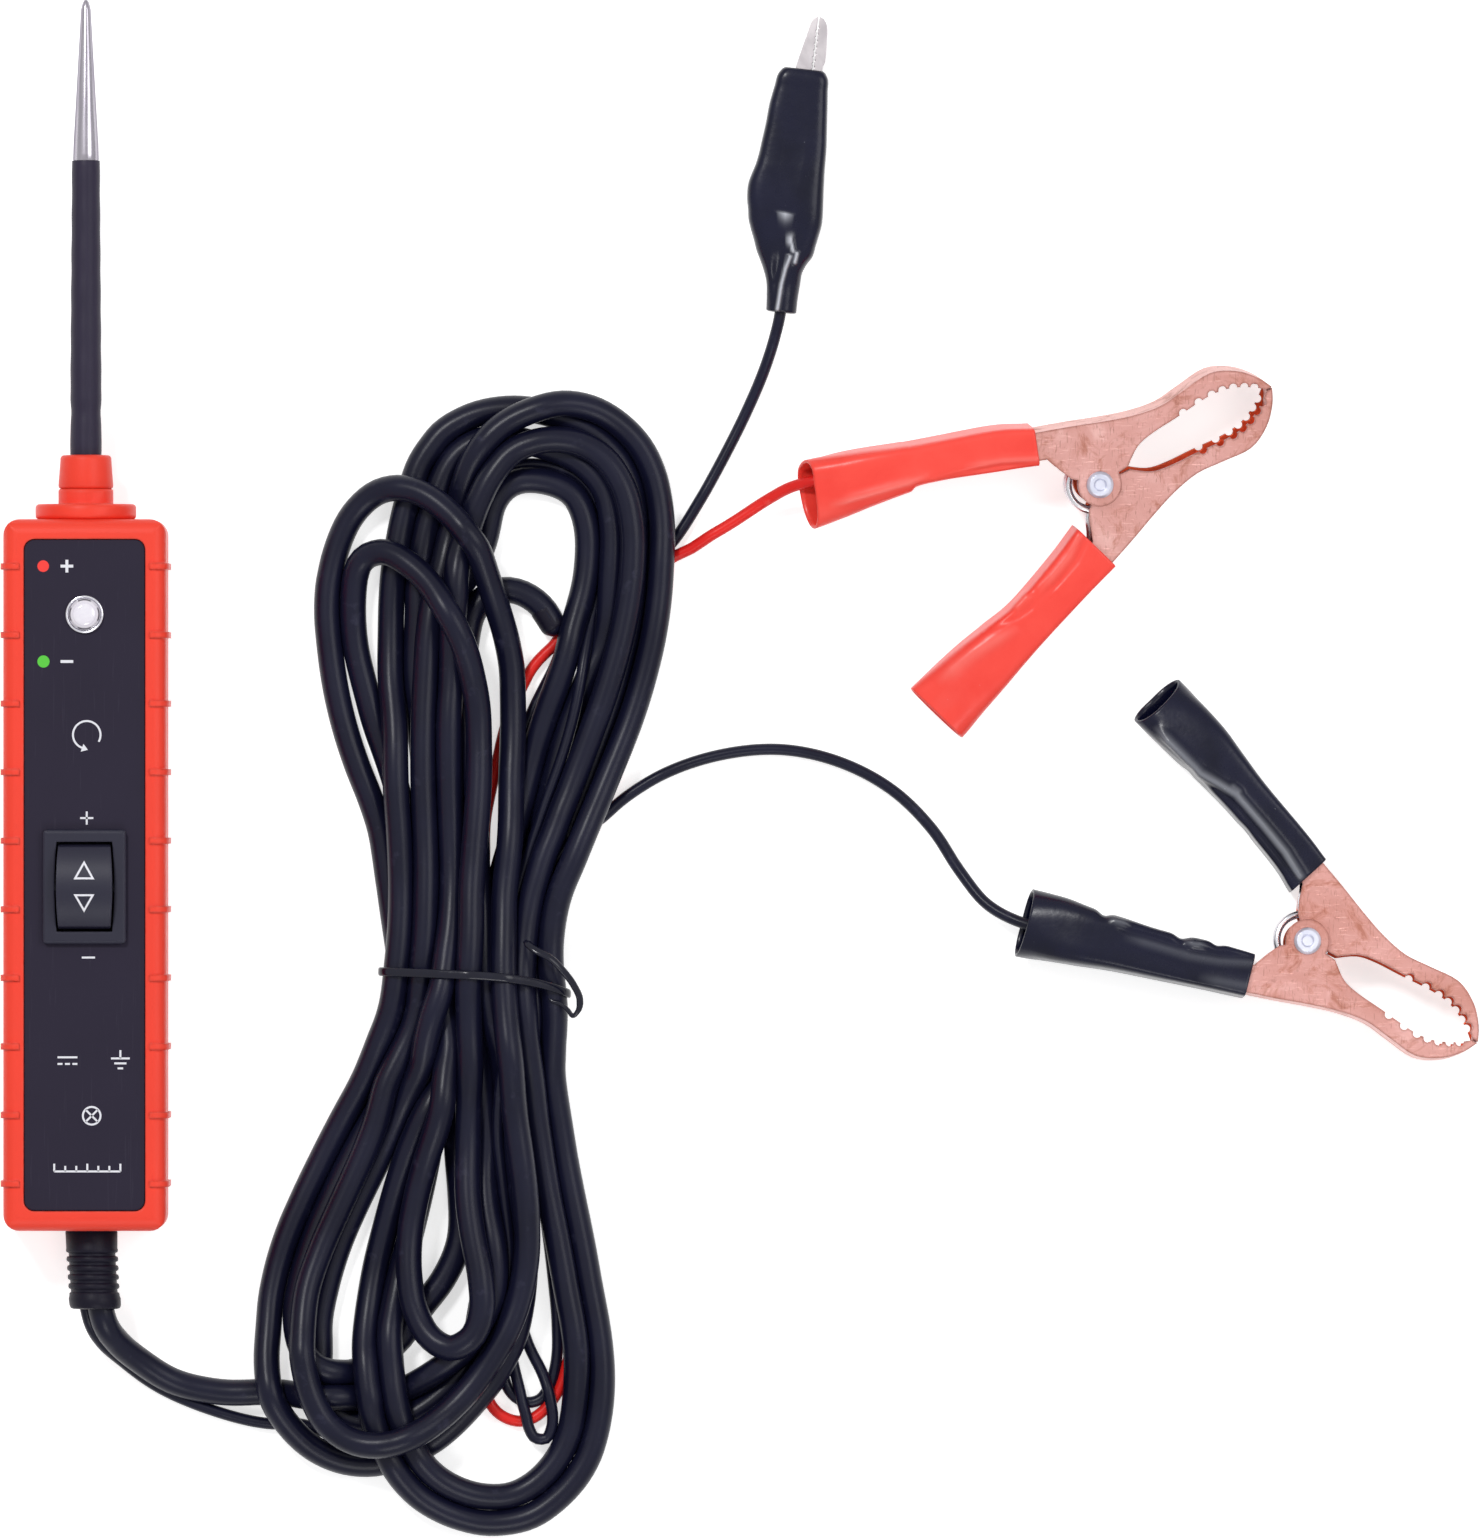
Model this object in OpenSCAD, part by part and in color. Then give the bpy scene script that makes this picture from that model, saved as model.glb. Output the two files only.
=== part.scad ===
// Automotive circuit tester: a hand-held probe with a rocker switch and an indicator lamp,
// on a long cable tied in a hank, with two battery clips and one small alligator clip.
// It lies on its back: X runs across the probe, Y to the probe's tip, and Z up from the surface.

/* [Housing] */
// Width of the housing
housing_w = 29.6; // [28:0.2:34]
// Length of the housing, from the nose wall to the cable wall
housing_l = 129.2; // [126:0.2:140]
// Height of the housing, from its back to its front
housing_h = 22; // [21:0.5:26]
// Thickness of the shells' walls
wall = 2; // [1.6:0.1:2.4]
// Thickness of the front wall, under the panel
front_wall = 3; // [2.6:0.1:3.6]
// Radius of the four corners seen from the front
corner_r = 3; // [2.6:0.1:5]
// Radius of the long edges
edge_r = 2.5; // [1:0.1:2.6]
// Height of the joint between the two shells
joint_z = 10; // [8:0.5:11]
// Number of grip beads on each side
bead_count = 10; // [6:1:10]
// Distance between two grip beads
bead_pitch = 12.45; // [11:0.05:12.6]
// Width of a grip bead
bead_w = 1.1; // [0.8:0.1:1.6]
// Height of a grip bead over the wall
bead_h = 0.5; // [0.3:0.1:0.8]
// How far a grip bead reaches onto the front face
bead_wrap = 3; // [2.7:0.1:3.4]

/* [Front panel] */
// Width of the panel
panel_w = 21.8; // [19:0.2:22.6]
// Length of the panel
panel_l = 121.7; // [112:0.1:122.5]
// Thickness of the panel
panel_t = 1; // [0.6:0.1:1.4]
// Depth of the panel's face under the rim
panel_sink = 0.45; // [0.2:0.05:0.8]
// Corner radius of the panel
panel_r = 1.8; // [1:0.1:3]

/* [Lamp] */
// Diameter of the lamp's lens
lens_d = 4.9; // [4:0.1:5.4]
// Diameter of the lamp's ring
ring_d = 6.9; // [6.6:0.1:8]
// Distance of the lamp from the nose wall
lamp_from_nose = 17.3; // [15:0.1:20]

/* [Rocker switch] */
// Width of the bezel
bezel_w = 15.3; // [14.8:0.1:17]
// Length of the bezel
bezel_l = 20.9; // [20.4:0.1:23]
// Height of the bezel over the panel
bezel_h = 1.6; // [1.2:0.1:2.2]
// Width of the switch body under the panel
body_w = 13; // [12.8:0.1:13.4]
// Length of the switch body
body_l = 19; // [18.4:0.1:19.4]
// Depth of the switch body under the panel's face
body_depth = 12; // [10:0.5:13]
// Width of the rocker
rocker_w = 10.2; // [9:0.1:10.4]
// Length of the rocker
rocker_l = 15.6; // [14:0.1:16]
// Height of the rocker's crown over the bezel
crown_h = 2.8; // [2:0.1:3.6]
// Distance of the switch from the nose wall
switch_from_nose = 66.7; // [62:0.1:72]

/* [Probe] */
// Diameter of the rod where it leaves the sleeve
rod_d = 4.7; // [4:0.1:5]
// Length of bare rod past the sleeve
rod_out = 29.5; // [20:0.5:40]
// Length of the insulating sleeve
sleeve_l = 53.3; // [40:0.1:70]
// Thickness of the insulating sleeve
sleeve_t = 0.35; // [0.2:0.05:0.6]
// Diameter of the collar at the sleeve's foot
collar_d = 10; // [8:0.1:11]
// Length of the collar
collar_l = 6.2; // [4:0.1:9]
// Length of the neck under the collar
neck_l = 2.8; // [1.5:0.1:4]
// Diameter of the nose flange
flange_d = 18.3; // [15:0.1:20]
// Thickness of the nose flange
flange_t = 2.8; // [1.8:0.1:4]

/* [Strain relief] */
// Diameter of the strain relief
relief_d = 9.5; // [8:0.1:11]
// Length of the strain relief outside the housing
relief_l = 14.3; // [12:0.1:22]
// Number of ribs
relief_ribs = 5; // [3:1:7]
// Distance between two ribs
rib_pitch = 1.64; // [1.4:0.02:1.7]

/* [Battery clips] */
// Width of a clip over its wire jaw
clip_w = 11; // [9:0.2:13]
// Thickness of the folded sheet
sheet_t = 0.9; // [0.6:0.1:1.1]
// Play between the nested jaws on each side
jaw_play = 0.2; // [0.15:0.05:0.3]
// Reach from the rivet to the jaws' tip
jaw_reach = 36; // [34:0.5:42]
// Radius of the ears round the rivet
ear_r = 4; // [3.4:0.1:4.4]
// Number of scallops cut in each bite edge
scallops = 7; // [4:1:8]
// Radius of one scallop
scallop_r = 0.75; // [0.5:0.05:0.85]
// Diameter of the rivet's shank
rivet_d = 3.2; // [2.4:0.1:3.6]
// Diameter of the rivet's heads
rivet_head_d = 4.9; // [4.4:0.1:6]
// Depth of a handle, back to edge
handle_depth = 5.2; // [4.4:0.1:5.4]
// Length of handle inside its grip
handle_l = 24; // [16:0.5:30]
// Length of a grip
grip_l = 41.8; // [36:0.2:50]
// Thickness of a grip's wall
grip_t = 0.6; // [0.4:0.05:0.9]
// Wire diameter of the clip spring
spring_wire = 1.3; // [0.9:0.1:1.4]
// Radius of the clip spring's coil, at the middle of its wire
spring_r = 4.6; // [4:0.1:5]

/* [Alligator clip] */
// Width of the fixed jaw
gator_w = 5.2; // [5:0.1:5.4]
// Thickness of its sheet
gator_t = 0.5; // [0.4:0.05:0.6]
// Reach from its pin to its tip
gator_reach = 20.5; // [18:0.1:24]
// Thickness of its rubber boot
boot_t = 0.8; // [0.6:0.05:1]

/* [Cables] */
// Diameter of the main cable
main_d = 4.6; // [4:0.1:5.5]
// Diameter of the thin leads
lead_d = 2.1; // [1.8:0.1:2.6]
// Height of the hank on the surface
hank_h = 12; // [10:0.5:16]
// Thickness of the twist tie
tie_d = 1.8; // [1:0.1:2.4]

/* [Hidden] */
$fn = 48;

// Clearances: parts that are assembled, shafts that turn, and holes cut right through.
fit_gap = 0.15;
run_gap = 0.05;
through = 1;

// Places along the probe. The length over all is centred on the origin.
overall_l = rod_out + sleeve_l + collar_l + neck_l + flange_t + housing_l + relief_l;
tip_y = overall_l / 2;
sleeve_y = tip_y - rod_out;
collar_y = sleeve_y - sleeve_l;
neck_y = collar_y - collar_l;
flange_y = neck_y - neck_l;
nose_y = flange_y - flange_t;
tail_y = nose_y - housing_l;
housing_y = (nose_y + tail_y) / 2;
axis_z = housing_h / 2;
relief_x = 1;

// The holes in the end walls, and the flanges that the walls hold between them.
end_hole_r = 6;
inner_flange_r = 7;
inner_flange_t = 1.8;

// The front panel and what stands on it.
panel_z = housing_h - panel_sink;
lamp_y = nose_y - lamp_from_nose;
switch_y = nose_y - switch_from_nose;
lamp_tube_r = ring_d / 2 - 0.5;
lens_proud = 2.2;
lamp_length = 8.6;

// The rocker turns about a pin under the bezel's face, and its ends are round about that pin.
bezel_z = panel_z + bezel_h;
rocker_gap = 0.35;
hinge_depth = 2.4;
hinge_z = bezel_z - hinge_depth;
rocker_bulge = 0.4;
rocker_pin_r = 1;
rocker_pin_reach = rocker_w / 2 + rocker_gap + 0.7;
rocker_foot = 3.6;
crown_z = crown_h + hinge_depth;
crown_end = rocker_l / 2 - 0.6;

// Screws, pillars and posts inside the housing.
screw_x = housing_w / 2 - 4.8;
screw_inset = 8.5;
pillar_r = 2.5;
screw_r = 1.1;
screw_head_r = 2.1;
screw_head_h = 1.8;
screw_sink = 0.6;
screw_reach = 8;
board_w = 19.6;
board_l = 38;
board_t = 1.2;
board_z = 7;
board_y = nose_y - screw_inset - pillar_r - 1.5 - board_l / 2;
blade_l = 5.6;
lead_side = 0.48 * board_w;
lead_turn = 0.0929 * housing_l;
post_r = 1.6;
post_inset = 2.4;
strap_y = board_y + board_l / 2 - 3;

// A battery clip in its own frame: the rivet is at the origin, the jaws point along X, the
// wire's jaw is on the +Y side, and the sheet's folds run along Z.
lever_w = clip_w - 2 * (sheet_t + jaw_play);
handle_angle = 163.3;
handle_root = [-5.4, 11.2];
handle_dir = [cos(handle_angle), sin(handle_angle)];
handle_out = [handle_dir[1], -handle_dir[0]];
bite_gap = 0.2;
back_curve = spline([handle_root + handle_out * handle_depth / 2,
    [0.02 * jaw_reach, 11.8], [0.16 * jaw_reach, 9.9], [0.31 * jaw_reach, 8.1],
    [0.46 * jaw_reach, 7.1], [0.6 * jaw_reach, 7.5], [0.76 * jaw_reach, 7.9],
    [0.88 * jaw_reach, 5.9], [0.96 * jaw_reach, 2.9], [jaw_reach, bite_gap]], 4);
bite_curve = spline([[0.97 * jaw_reach, bite_gap], [0.9 * jaw_reach, 2.1], [0.8 * jaw_reach, 3.8],
    [0.68 * jaw_reach, 4.3], [0.5 * jaw_reach, 3.8], [0.36 * jaw_reach, 3.5],
    [0.26 * jaw_reach, 2.7], [0.17 * jaw_reach, 0.4]], 4);
bite_first = 3;
scallop_step = 2;
throat = [[-4, 3.4], [-5.1, 5.8], handle_root - handle_out * handle_depth / 2];

// Where each clip lies: the rivet's place, and its turns about X, Y and Z.
red_at = [183.8, 31.3, 7.1];
red_turn = [7.5, 2, 29.4];
black_at = [221.9, -52.4, 6.5];
black_turn = [177, 0, -30.8];

// A grip is a tube that starts boxy round its handle and flares to an oval mouth. Each list
// gives the bore's room outside and inside its handle, at the rings from the jaw to the mouth.
red_wire_angle = handle_angle - 4;
red_wire_start = 1.5;
grip_start = 0.3;
grip_rings = [0, 0.2, 0.4, 0.58, 0.72, 0.86, 1];
red_wire_room = [[0.3, 0.3], [1, 0.3], [0.7, 0.35], [0.6, 1.7], [0.7, 3], [0.6, 4.5], [0.1, 5.7]];
red_lever_room = [[0.3, 3.2], [0.3, 2.2], [0.5, 1.7], [0.9, 2.5], [1.4, 3.3], [1.8, 3.8], [2, 4]];
black_wire_room = [[0.2, 1.4], [0.5, 1.7], [0.9, 1.5], [1.3, 2], [1.9, 2.4], [2.4, 3.1], [2.7, 3]];
black_lever_room = [[0.3, 1.9], [1, 0.7], [1.4, 0.35], [2.2, 0.5], [2.9, 1], [3, 1.4], [2.6, 1.5]];
grip_lift = [0.5, 0.5, 0.5, 0.5, 0.2, -0.6, -1.6];
grip_sides = 16;
grip_square = 12;
grip_round = 2.4;

// The alligator clip in its own frame: the pin is at the origin and the jaws point along X.
gator_at = [130.9, 95.6, 4.6];
gator_turn = [0, 0, 83.4];
gator_inner_w = gator_w - 2 * (gator_t + 0.15);
gator_pin_r = 0.8;
gator_ear_r = 1.5;
gator_bite_gap = 0.1;
gator_tail = 22;
gator_boot_rings = [[10.5, 1.55, 4.35, 4.2], [9.6, 1.6, 4.5, 4.3], [4, 1.8, 5.3, 4.4],
    [-3, 1.8, 5.9, 4.5], [-7.5, 2, 6.3, 4.6], [-11, 2.3, 6.9, 4.6], [-16, 2, 6.8, 4.5],
    [-19.5, 1.6, 6.1, 4.3], [-23, 1.3, 5.1, 3.9], [-25.8, 1.2, 3.8, 3.3], [-28.5, 0.9, 3.1, 2.9],
    [-34, 0.75, 2.8, 2.7]];
boot_neck_ring = 9;
boot_square = 6;
boot_round = 2.2;

// Routes of the cords, in millimetres. The main cable and the ground wire leave the strain
// relief together, and the three leads leave the hank for their clips.
main_route = [[2.4, -119, 11], [3, -122, 10.6], [6, -126, 8], [10, -130, 4.6], [16, -133.4, 2.6],
    [24, -134.6, 2.4], [33, -134.6, 3]];
ground_tail_route = [[-1.6, -119, 11], [-1.2, -122.4, 10.4], [1.4, -127, 7.2], [6, -131, 3],
    [13, -134.4, 1.4], [22, -138.2, 1.2], [34, -140.4, 1.8]];
red_route = [[104, 16.6, 2.6], [109.8, 19.5, 3], [117.1, 23.7, 3.9], [124.4, 28.4, 5.6],
    [128, 30.3, 8], [132, 31.4, 10], [138, 32.3, 10.6], [147, 33.8, 10.8], [155.2, 35.4, 10.8]];
black_route = [[93, -30, 5], [98, -26, 3], [105, -21.8, 1.4], [115, -18.4, 1.2], [127, -17.4, 1.2],
    [138, -20, 1.2], [147, -25, 1.2], [154, -32, 1.4], [159, -39.6, 2.6], [164, -45.6, 4.8],
    [170, -48.8, 6.8], [176, -50.2, 7.4], [184, -51.8, 7.4], [193, -55, 7.2]];
ground_route = [[104, 14, 3.2], [107, 19, 2.6], [111.6, 28, 1.4], [116, 36, 1.2], [120, 44, 1.2],
    [123.4, 52, 2.4], [125.2, 57.6, 4], [126.2, 61.9, 4.6], [126.7, 67.4, 4.6], [128.4, 74.2, 4.6]];

// The outline of the hank, seen from above, and the band round its waist.
hank_outline = [[86, 47], [97, 43], [103.4, 34], [105.6, 20], [103.6, 2], [99, -16], [90, -37],
    [85.6, -50], [84.6, -60], [87, -82], [92, -108], [95.4, -134], [93, -146], [85, -156],
    [72, -159.4], [60, -155], [50, -150.2], [38, -146], [31.4, -134], [31, -122], [37, -102],
    [48, -80], [55.6, -60], [56.4, -45], [51, -28], [45, -10], [42.4, 8], [45, 23], [53, 31.6],
    [60, 36], [67, 45]];
tie_y = -60;
tie_left = 55;
tie_right = 85.4;
tie_tail = [[84.6, -60, 7], [87.6, -58, 9], [90, -58.6, 9.6], [90.6, -62.4, 8], [88.6, -65.4, 6]];

// Points along an arc, from angle a to angle b in n steps.
function arc(centre, r, a, b, n = 6) =
    [for (i = [0:n]) centre + r * [cos(a + (b - a) * i / n), sin(a + (b - a) * i / n)]];

// A rectangle round its own centre, with four round corners.
function rounded(w, l, r, n = 6) = concat(
    arc([w / 2 - r, l / 2 - r], r, 0, 90, n), arc([r - w / 2, l / 2 - r], r, 90, 180, n),
    arc([r - w / 2, r - l / 2], r, 180, 270, n), arc([w / 2 - r, r - l / 2], r, 270, 360, n));

// A side view: w wide, from the surface up to h, with round upper and lower corners.
function section(w, h, upper, lower, n = 6) = concat(
    arc([w / 2 - upper, h - upper], upper, 0, 90, n),
    arc([upper - w / 2, h - upper], upper, 90, 180, n),
    arc([lower - w / 2, lower], lower, 180, 270, n),
    arc([w / 2 - lower, lower], lower, 270, 360, n));

// One point of the smooth curve through p, t of the way from point i to point i + 1.
function blend_at(p, i, t, last) =
    let (a = p[max(i - 1, 0)], b = p[i], c = p[min(i + 1, last)], d = p[min(i + 2, last)])
    b + 0.5 * t * (c - a + t * (2 * a - 5 * b + 4 * c - d + t * (3 * (b - c) + d - a)));

// A smooth curve through the points p, with n steps between each two.
function spline(p, n) = concat(
    [for (i = [0:len(p) - 2]) for (k = [0:n - 1]) blend_at(p, i, k / n, len(p) - 1)],
    [p[len(p) - 1]]);

// A smooth closed curve through the points p.
function closed_spline(p, n) = let (q = concat([p[len(p) - 1]], p, [p[0], p[1]]))
    [for (i = [1:len(p)]) for (k = [0:n - 1]) blend_at(q, i, k / n, len(q) - 1)];

// A flat curve moved sideways by d, to its right.
function unit(v) = v / norm(v);
function beside(p, d) = [for (i = [0:len(p) - 1])
    let (t = unit(p[min(i + 1, len(p) - 1)] - p[max(i - 1, 0)])) p[i] + d * [t[1], -t[0]]];
function reversed(p) = [for (i = [len(p) - 1:-1:0]) p[i]];

// A skin over rings of equal count, closed by a cap at each end or run round into itself.
module skin(rings, loop = false) {
    n = len(rings[0]);
    m = len(rings);
    spans = loop ? m : m - 1;
    sides = [for (i = [0:spans - 1]) for (k = [0:n - 1])
        let (a = i * n + k, b = i * n + (k + 1) % n, c = ((i + 1) % m) * n)
        each [[a, b, c + (k + 1) % n], [a, c + (k + 1) % n, c + k]]];
    caps = loop ? [] : [[for (k = [n - 1:-1:0]) k], [for (k = [0:n - 1]) (m - 1) * n + k]];
    polyhedron([for (ring = rings) each ring], concat(sides, caps));
}

// A round cord along a path that never runs straight up.
function cord_ring(p, i, r, n) =
    let (t = unit(p[min(i + 1, len(p) - 1)] - p[max(i - 1, 0)]), s = unit(cross(t, [0, 0, 1])),
        u = cross(s, t))
    [for (k = [0:n - 1]) p[i] + r * (cos(360 * k / n) * s + sin(360 * k / n) * u)];
module cord(path, d, sides) {
    skin([for (i = [0:len(path) - 1]) cord_ring(path, i, d / 2, sides)]);
}

// A block on the surface whose corners, upper edges and lower edges are round.
module pillow(w, l, h, corner, upper, lower) {
    intersection() {
        linear_extrude(h) polygon(rounded(w, l, corner));
        rotate([90, 0, 0])
            linear_extrude(l + through, center = true) polygon(section(w, h, upper, lower));
        rotate([90, 0, 90])
            linear_extrude(w + through, center = true) polygon(section(l, h, upper, lower));
    }
}

// The housing's outer form, grown by g on every side.
module housing_form(g) {
    translate([0, housing_y, -g])
        pillow(housing_w + 2 * g, housing_l + 2 * g, housing_h + 2 * g, corner_r + g, edge_r + g,
            edge_r + g);
}

// The room inside the shells.
module housing_room() {
    room_w = housing_w - 2 * wall;
    room_l = housing_l - 2 * wall;
    translate([0, housing_y, wall])
        linear_extrude(housing_h - wall - front_wall)
            polygon(rounded(room_w, room_l, corner_r - wall / 2));
}

// The grip beads: bars across each side that follow the housing's form and reach onto its face.
module grip_beads() {
    intersection() {
        housing_form(bead_h);
        for (side = [-1, 1], i = [0:bead_count - 1])
            translate([side * (housing_w / 2 + bead_h - (bead_wrap + bead_h) / 2),
                housing_y + (i - (bead_count - 1) / 2) * bead_pitch, housing_h / 2 + edge_r])
                rotate([0, 90, 0])
                    linear_extrude(bead_wrap + bead_h, center = true)
                        polygon(rounded(housing_h, bead_w, bead_w / 3, 3));
    }
}

// The holes in both end walls, for the nose and the strain relief.
module end_holes() {
    translate([0, nose_y + through, axis_z])
        rotate([90, 0, 0]) cylinder(r = end_hole_r, h = wall + 2 * through);
    translate([relief_x, tail_y + wall + through, axis_z])
        rotate([90, 0, 0]) cylinder(r = end_hole_r, h = wall + 2 * through);
}

// Puts its children on each of the four screw axes.
module at_screws() {
    for (x = [-screw_x, screw_x], y = [nose_y - screw_inset, tail_y + screw_inset])
        translate([x, y, 0]) children();
}

module front_shell() {
    color("tomato") difference() {
        union() {
            difference() {
                union() {
                    housing_form(0);
                    grip_beads();
                }
                housing_room();
            }
            at_screws() translate([0, 0, joint_z]) cylinder(r = pillar_r, h = housing_h - joint_z - wall);
        }
        translate([0, housing_y, joint_z - housing_h])
            cube([2 * housing_w, 2 * housing_l, 2 * housing_h], center = true);
        translate([0, housing_y, panel_z - panel_t])
            linear_extrude(housing_h)
                polygon(rounded(panel_w + 2 * fit_gap, panel_l + 2 * fit_gap, panel_r + fit_gap));
        translate([0, switch_y, 0])
            cube([body_w + 2 * fit_gap, body_l + 2 * fit_gap, 4 * housing_h], center = true);
        translate([0, lamp_y, joint_z]) cylinder(r = lamp_tube_r + fit_gap, h = housing_h);
        end_holes();
        at_screws() cylinder(r = screw_r + run_gap, h = screw_head_h + screw_sink + screw_reach + 2);
    }
}

module rear_shell() {
    post_x = board_w / 2 - post_inset;
    post_y = board_l / 2 - post_inset;
    color("tomato") difference() {
        union() {
            difference() {
                union() {
                    housing_form(0);
                    grip_beads();
                }
                housing_room();
            }
            at_screws() cylinder(r = pillar_r + 0.4, h = joint_z);
            for (x = [-post_x, post_x], y = [-post_y, post_y])
                translate([x, board_y + y, wall / 2]) cylinder(r = post_r, h = board_z - wall / 2);
        }
        translate([0, housing_y, joint_z + housing_h])
            cube([2 * housing_w, 2 * housing_l, 2 * housing_h], center = true);
        end_holes();
        at_screws() {
            translate([0, 0, -through])
                cylinder(r = screw_head_r + fit_gap, h = screw_head_h + screw_sink + through);
            cylinder(r = screw_r + run_gap, h = housing_h);
        }
    }
}

module front_panel() {
    color([0.23, 0.21, 0.27]) difference() {
        translate([0, housing_y, panel_z - panel_t])
            linear_extrude(panel_t) polygon(rounded(panel_w, panel_l, panel_r));
        translate([0, switch_y, 0])
            cube([body_w + 2 * fit_gap, body_l + 2 * fit_gap, 4 * housing_h], center = true);
        translate([0, lamp_y, joint_z]) cylinder(r = lamp_tube_r + fit_gap, h = housing_h);
    }
}

// The rocker's outline from above: its long sides bulge a little at mid-length.
function rocker_plan(g) = let (a = rocker_w / 2 + g, b = rocker_l / 2 + g, n = 8) concat(
    [for (i = [0:n]) let (v = 1 - 2 * i / n) [a - rocker_bulge * v * v, b * v]],
    [for (i = [0:n]) let (v = 2 * i / n - 1) [rocker_bulge * v * v - a, b * v]]);

module switch_body() {
    color([0.1, 0.1, 0.12]) difference() {
        translate([0, switch_y, panel_z]) union() {
            pillow(bezel_w, bezel_l, bezel_h, 1.2, 0.7, 0);
            translate([0, 0, -body_depth / 2])
                cube([body_w, body_l, body_depth], center = true);
        }
        translate([0, switch_y, hinge_z - rocker_l / 2])
            linear_extrude(housing_h) polygon(rocker_plan(rocker_gap));
        translate([0, switch_y, hinge_z]) rotate([0, 90, 0])
            cylinder(r = rocker_pin_r + run_gap, h = 2 * (rocker_pin_reach + 0.1), center = true);
    }
}

// The rocker: a convex crown, ends that are round about the pin, and a foot under it.
module switch_rocker() {
    crown_r = (crown_end * crown_end + pow(crown_z - crown_side(), 2)) / (2 * (crown_z - crown_side()));
    color([0.12, 0.12, 0.14]) translate([0, switch_y, hinge_z]) {
        intersection() {
            translate([0, 0, -rocker_foot])
                linear_extrude(rocker_foot + crown_z + through) polygon(rocker_plan(0));
            rotate([0, 90, 0]) cylinder(r = rocker_l / 2, h = 2 * rocker_w, center = true);
            translate([0, 0, crown_z - crown_r]) rotate([0, 90, 0])
                cylinder(r = crown_r, h = 2 * rocker_w, center = true, $fn = 96);
        }
        rotate([0, 90, 0]) cylinder(r = rocker_pin_r, h = 2 * rocker_pin_reach, center = true);
    }
}

// Height over the pin of the crown's two ends.
function crown_side() = sqrt(pow(rocker_l / 2, 2) - pow(crown_end, 2));

module switch_terminals() {
    color("silver") for (i = [-1, 0, 1])
        translate([0, switch_y + i * body_l / 3, panel_z - body_depth - blade_l / 2])
            cube([4.8, 0.8, blade_l], center = true);
}

module lamp_holder() {
    color([0.75, 0.75, 0.78]) translate([0, lamp_y, 0]) difference() {
        union() {
            translate([0, 0, panel_z]) cylinder(r1 = ring_d / 2, r2 = ring_d / 2 - 0.3, h = 0.8);
            translate([0, 0, panel_z - 3.4]) cylinder(r = lamp_tube_r, h = 3.6);
        }
        translate([0, 0, panel_z - 4]) cylinder(r = lens_d / 2 + run_gap, h = 6);
    }
}

// The lamp: a round lens with a domed top and a rim, and two leads down to the board.
module lamp() {
    top_z = panel_z + lens_proud;
    low_z = top_z - lamp_length;
    color([0.9, 0.9, 0.88]) translate([0, lamp_y, 0]) {
        rotate_extrude() polygon(concat([[0, low_z], [lens_d / 2 + 0.4, low_z],
            [lens_d / 2 + 0.4, low_z + 1], [lens_d / 2, low_z + 1]],
            arc([0, top_z - lens_d / 2], lens_d / 2, 0, 90, 10)));
        for (x = [-1.27, 1.27])
            translate([x - 0.3, -0.3, board_z + board_t])
                cube([0.6, 0.6, low_z - board_z - board_t]);
    }
}

module circuit_board() {
    color("darkgreen") translate([0, board_y, board_z]) {
        linear_extrude(board_t) polygon(rounded(board_w, board_l, 1, 2));
        for (y = [-8, -2]) translate([-6.4, y, board_t]) cube([3, 4, 1.6]);
        translate([3.4, -10, board_t]) cube([4, 8, 2]);
    }
}

// The strap that carries the probe's current down to the board.
module probe_contact() {
    foot_z = board_z + board_t;
    color("goldenrod") difference() {
        translate([-3.5, strap_y - 1, foot_z]) union() {
            cube([7, 1.6, 0.6]);
            translate([0, 1, 0]) cube([7, 0.6, axis_z - foot_z + 3.4]);
        }
        translate([0, strap_y, axis_z]) rotate([90, 0, 0])
            cylinder(r = rod_inner_r() + run_gap, h = 4, center = true);
    }
}

module circuit_breaker() {
    body = [12, 18, 9];
    place_y = tail_y + screw_inset + pillar_r + 6 + body[1] / 2;
    color("saddlebrown") translate([0, place_y, wall + body[2] / 2]) cube(body, center = true);
    color("silver") for (x = [-3, 3])
        translate([x, place_y + body[1] / 2 + 2, wall + 4]) cube([3, 4, 0.8], center = true);
}

// Turned parts on the probe's axis: a half section of [radius, distance towards the tip].
module turned(half, foot_y) {
    translate([0, foot_y, axis_z]) rotate([-90, 0, 0]) rotate_extrude() polygon(half);
}

function rod_inner_r() = rod_d / 2 - 0.15;

module nose_flange() {
    bore = rod_inner_r() + run_gap;
    neck_r = collar_d / 2;
    rim = 0.7;
    color("tomato") turned(concat([[bore, -wall - inner_flange_t],
        [inner_flange_r, -wall - inner_flange_t], [inner_flange_r, -wall - 0.05],
        [end_hole_r - 0.1, -wall - 0.05], [end_hole_r - 0.1, 0]],
        arc([flange_d / 2 - rim, rim], rim, -90, 0, 4),
        arc([flange_d / 2 - rim, flange_t - rim], rim, 0, 90, 4),
        [[neck_r, flange_t], [neck_r, flange_t + neck_l - 0.5],
        [neck_r - 0.5, flange_t + neck_l], [bore, flange_t + neck_l]]), nose_y);
}

module probe_collar() {
    bore = rod_inner_r() + run_gap;
    color("tomato") turned([[bore, 0], [collar_d / 2 - 0.4, 0], [collar_d / 2, 0.5],
        [collar_d / 2 - 0.35, collar_l - 0.7], [collar_d / 2 - 1, collar_l], [bore, collar_l]], neck_y);
}

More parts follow.
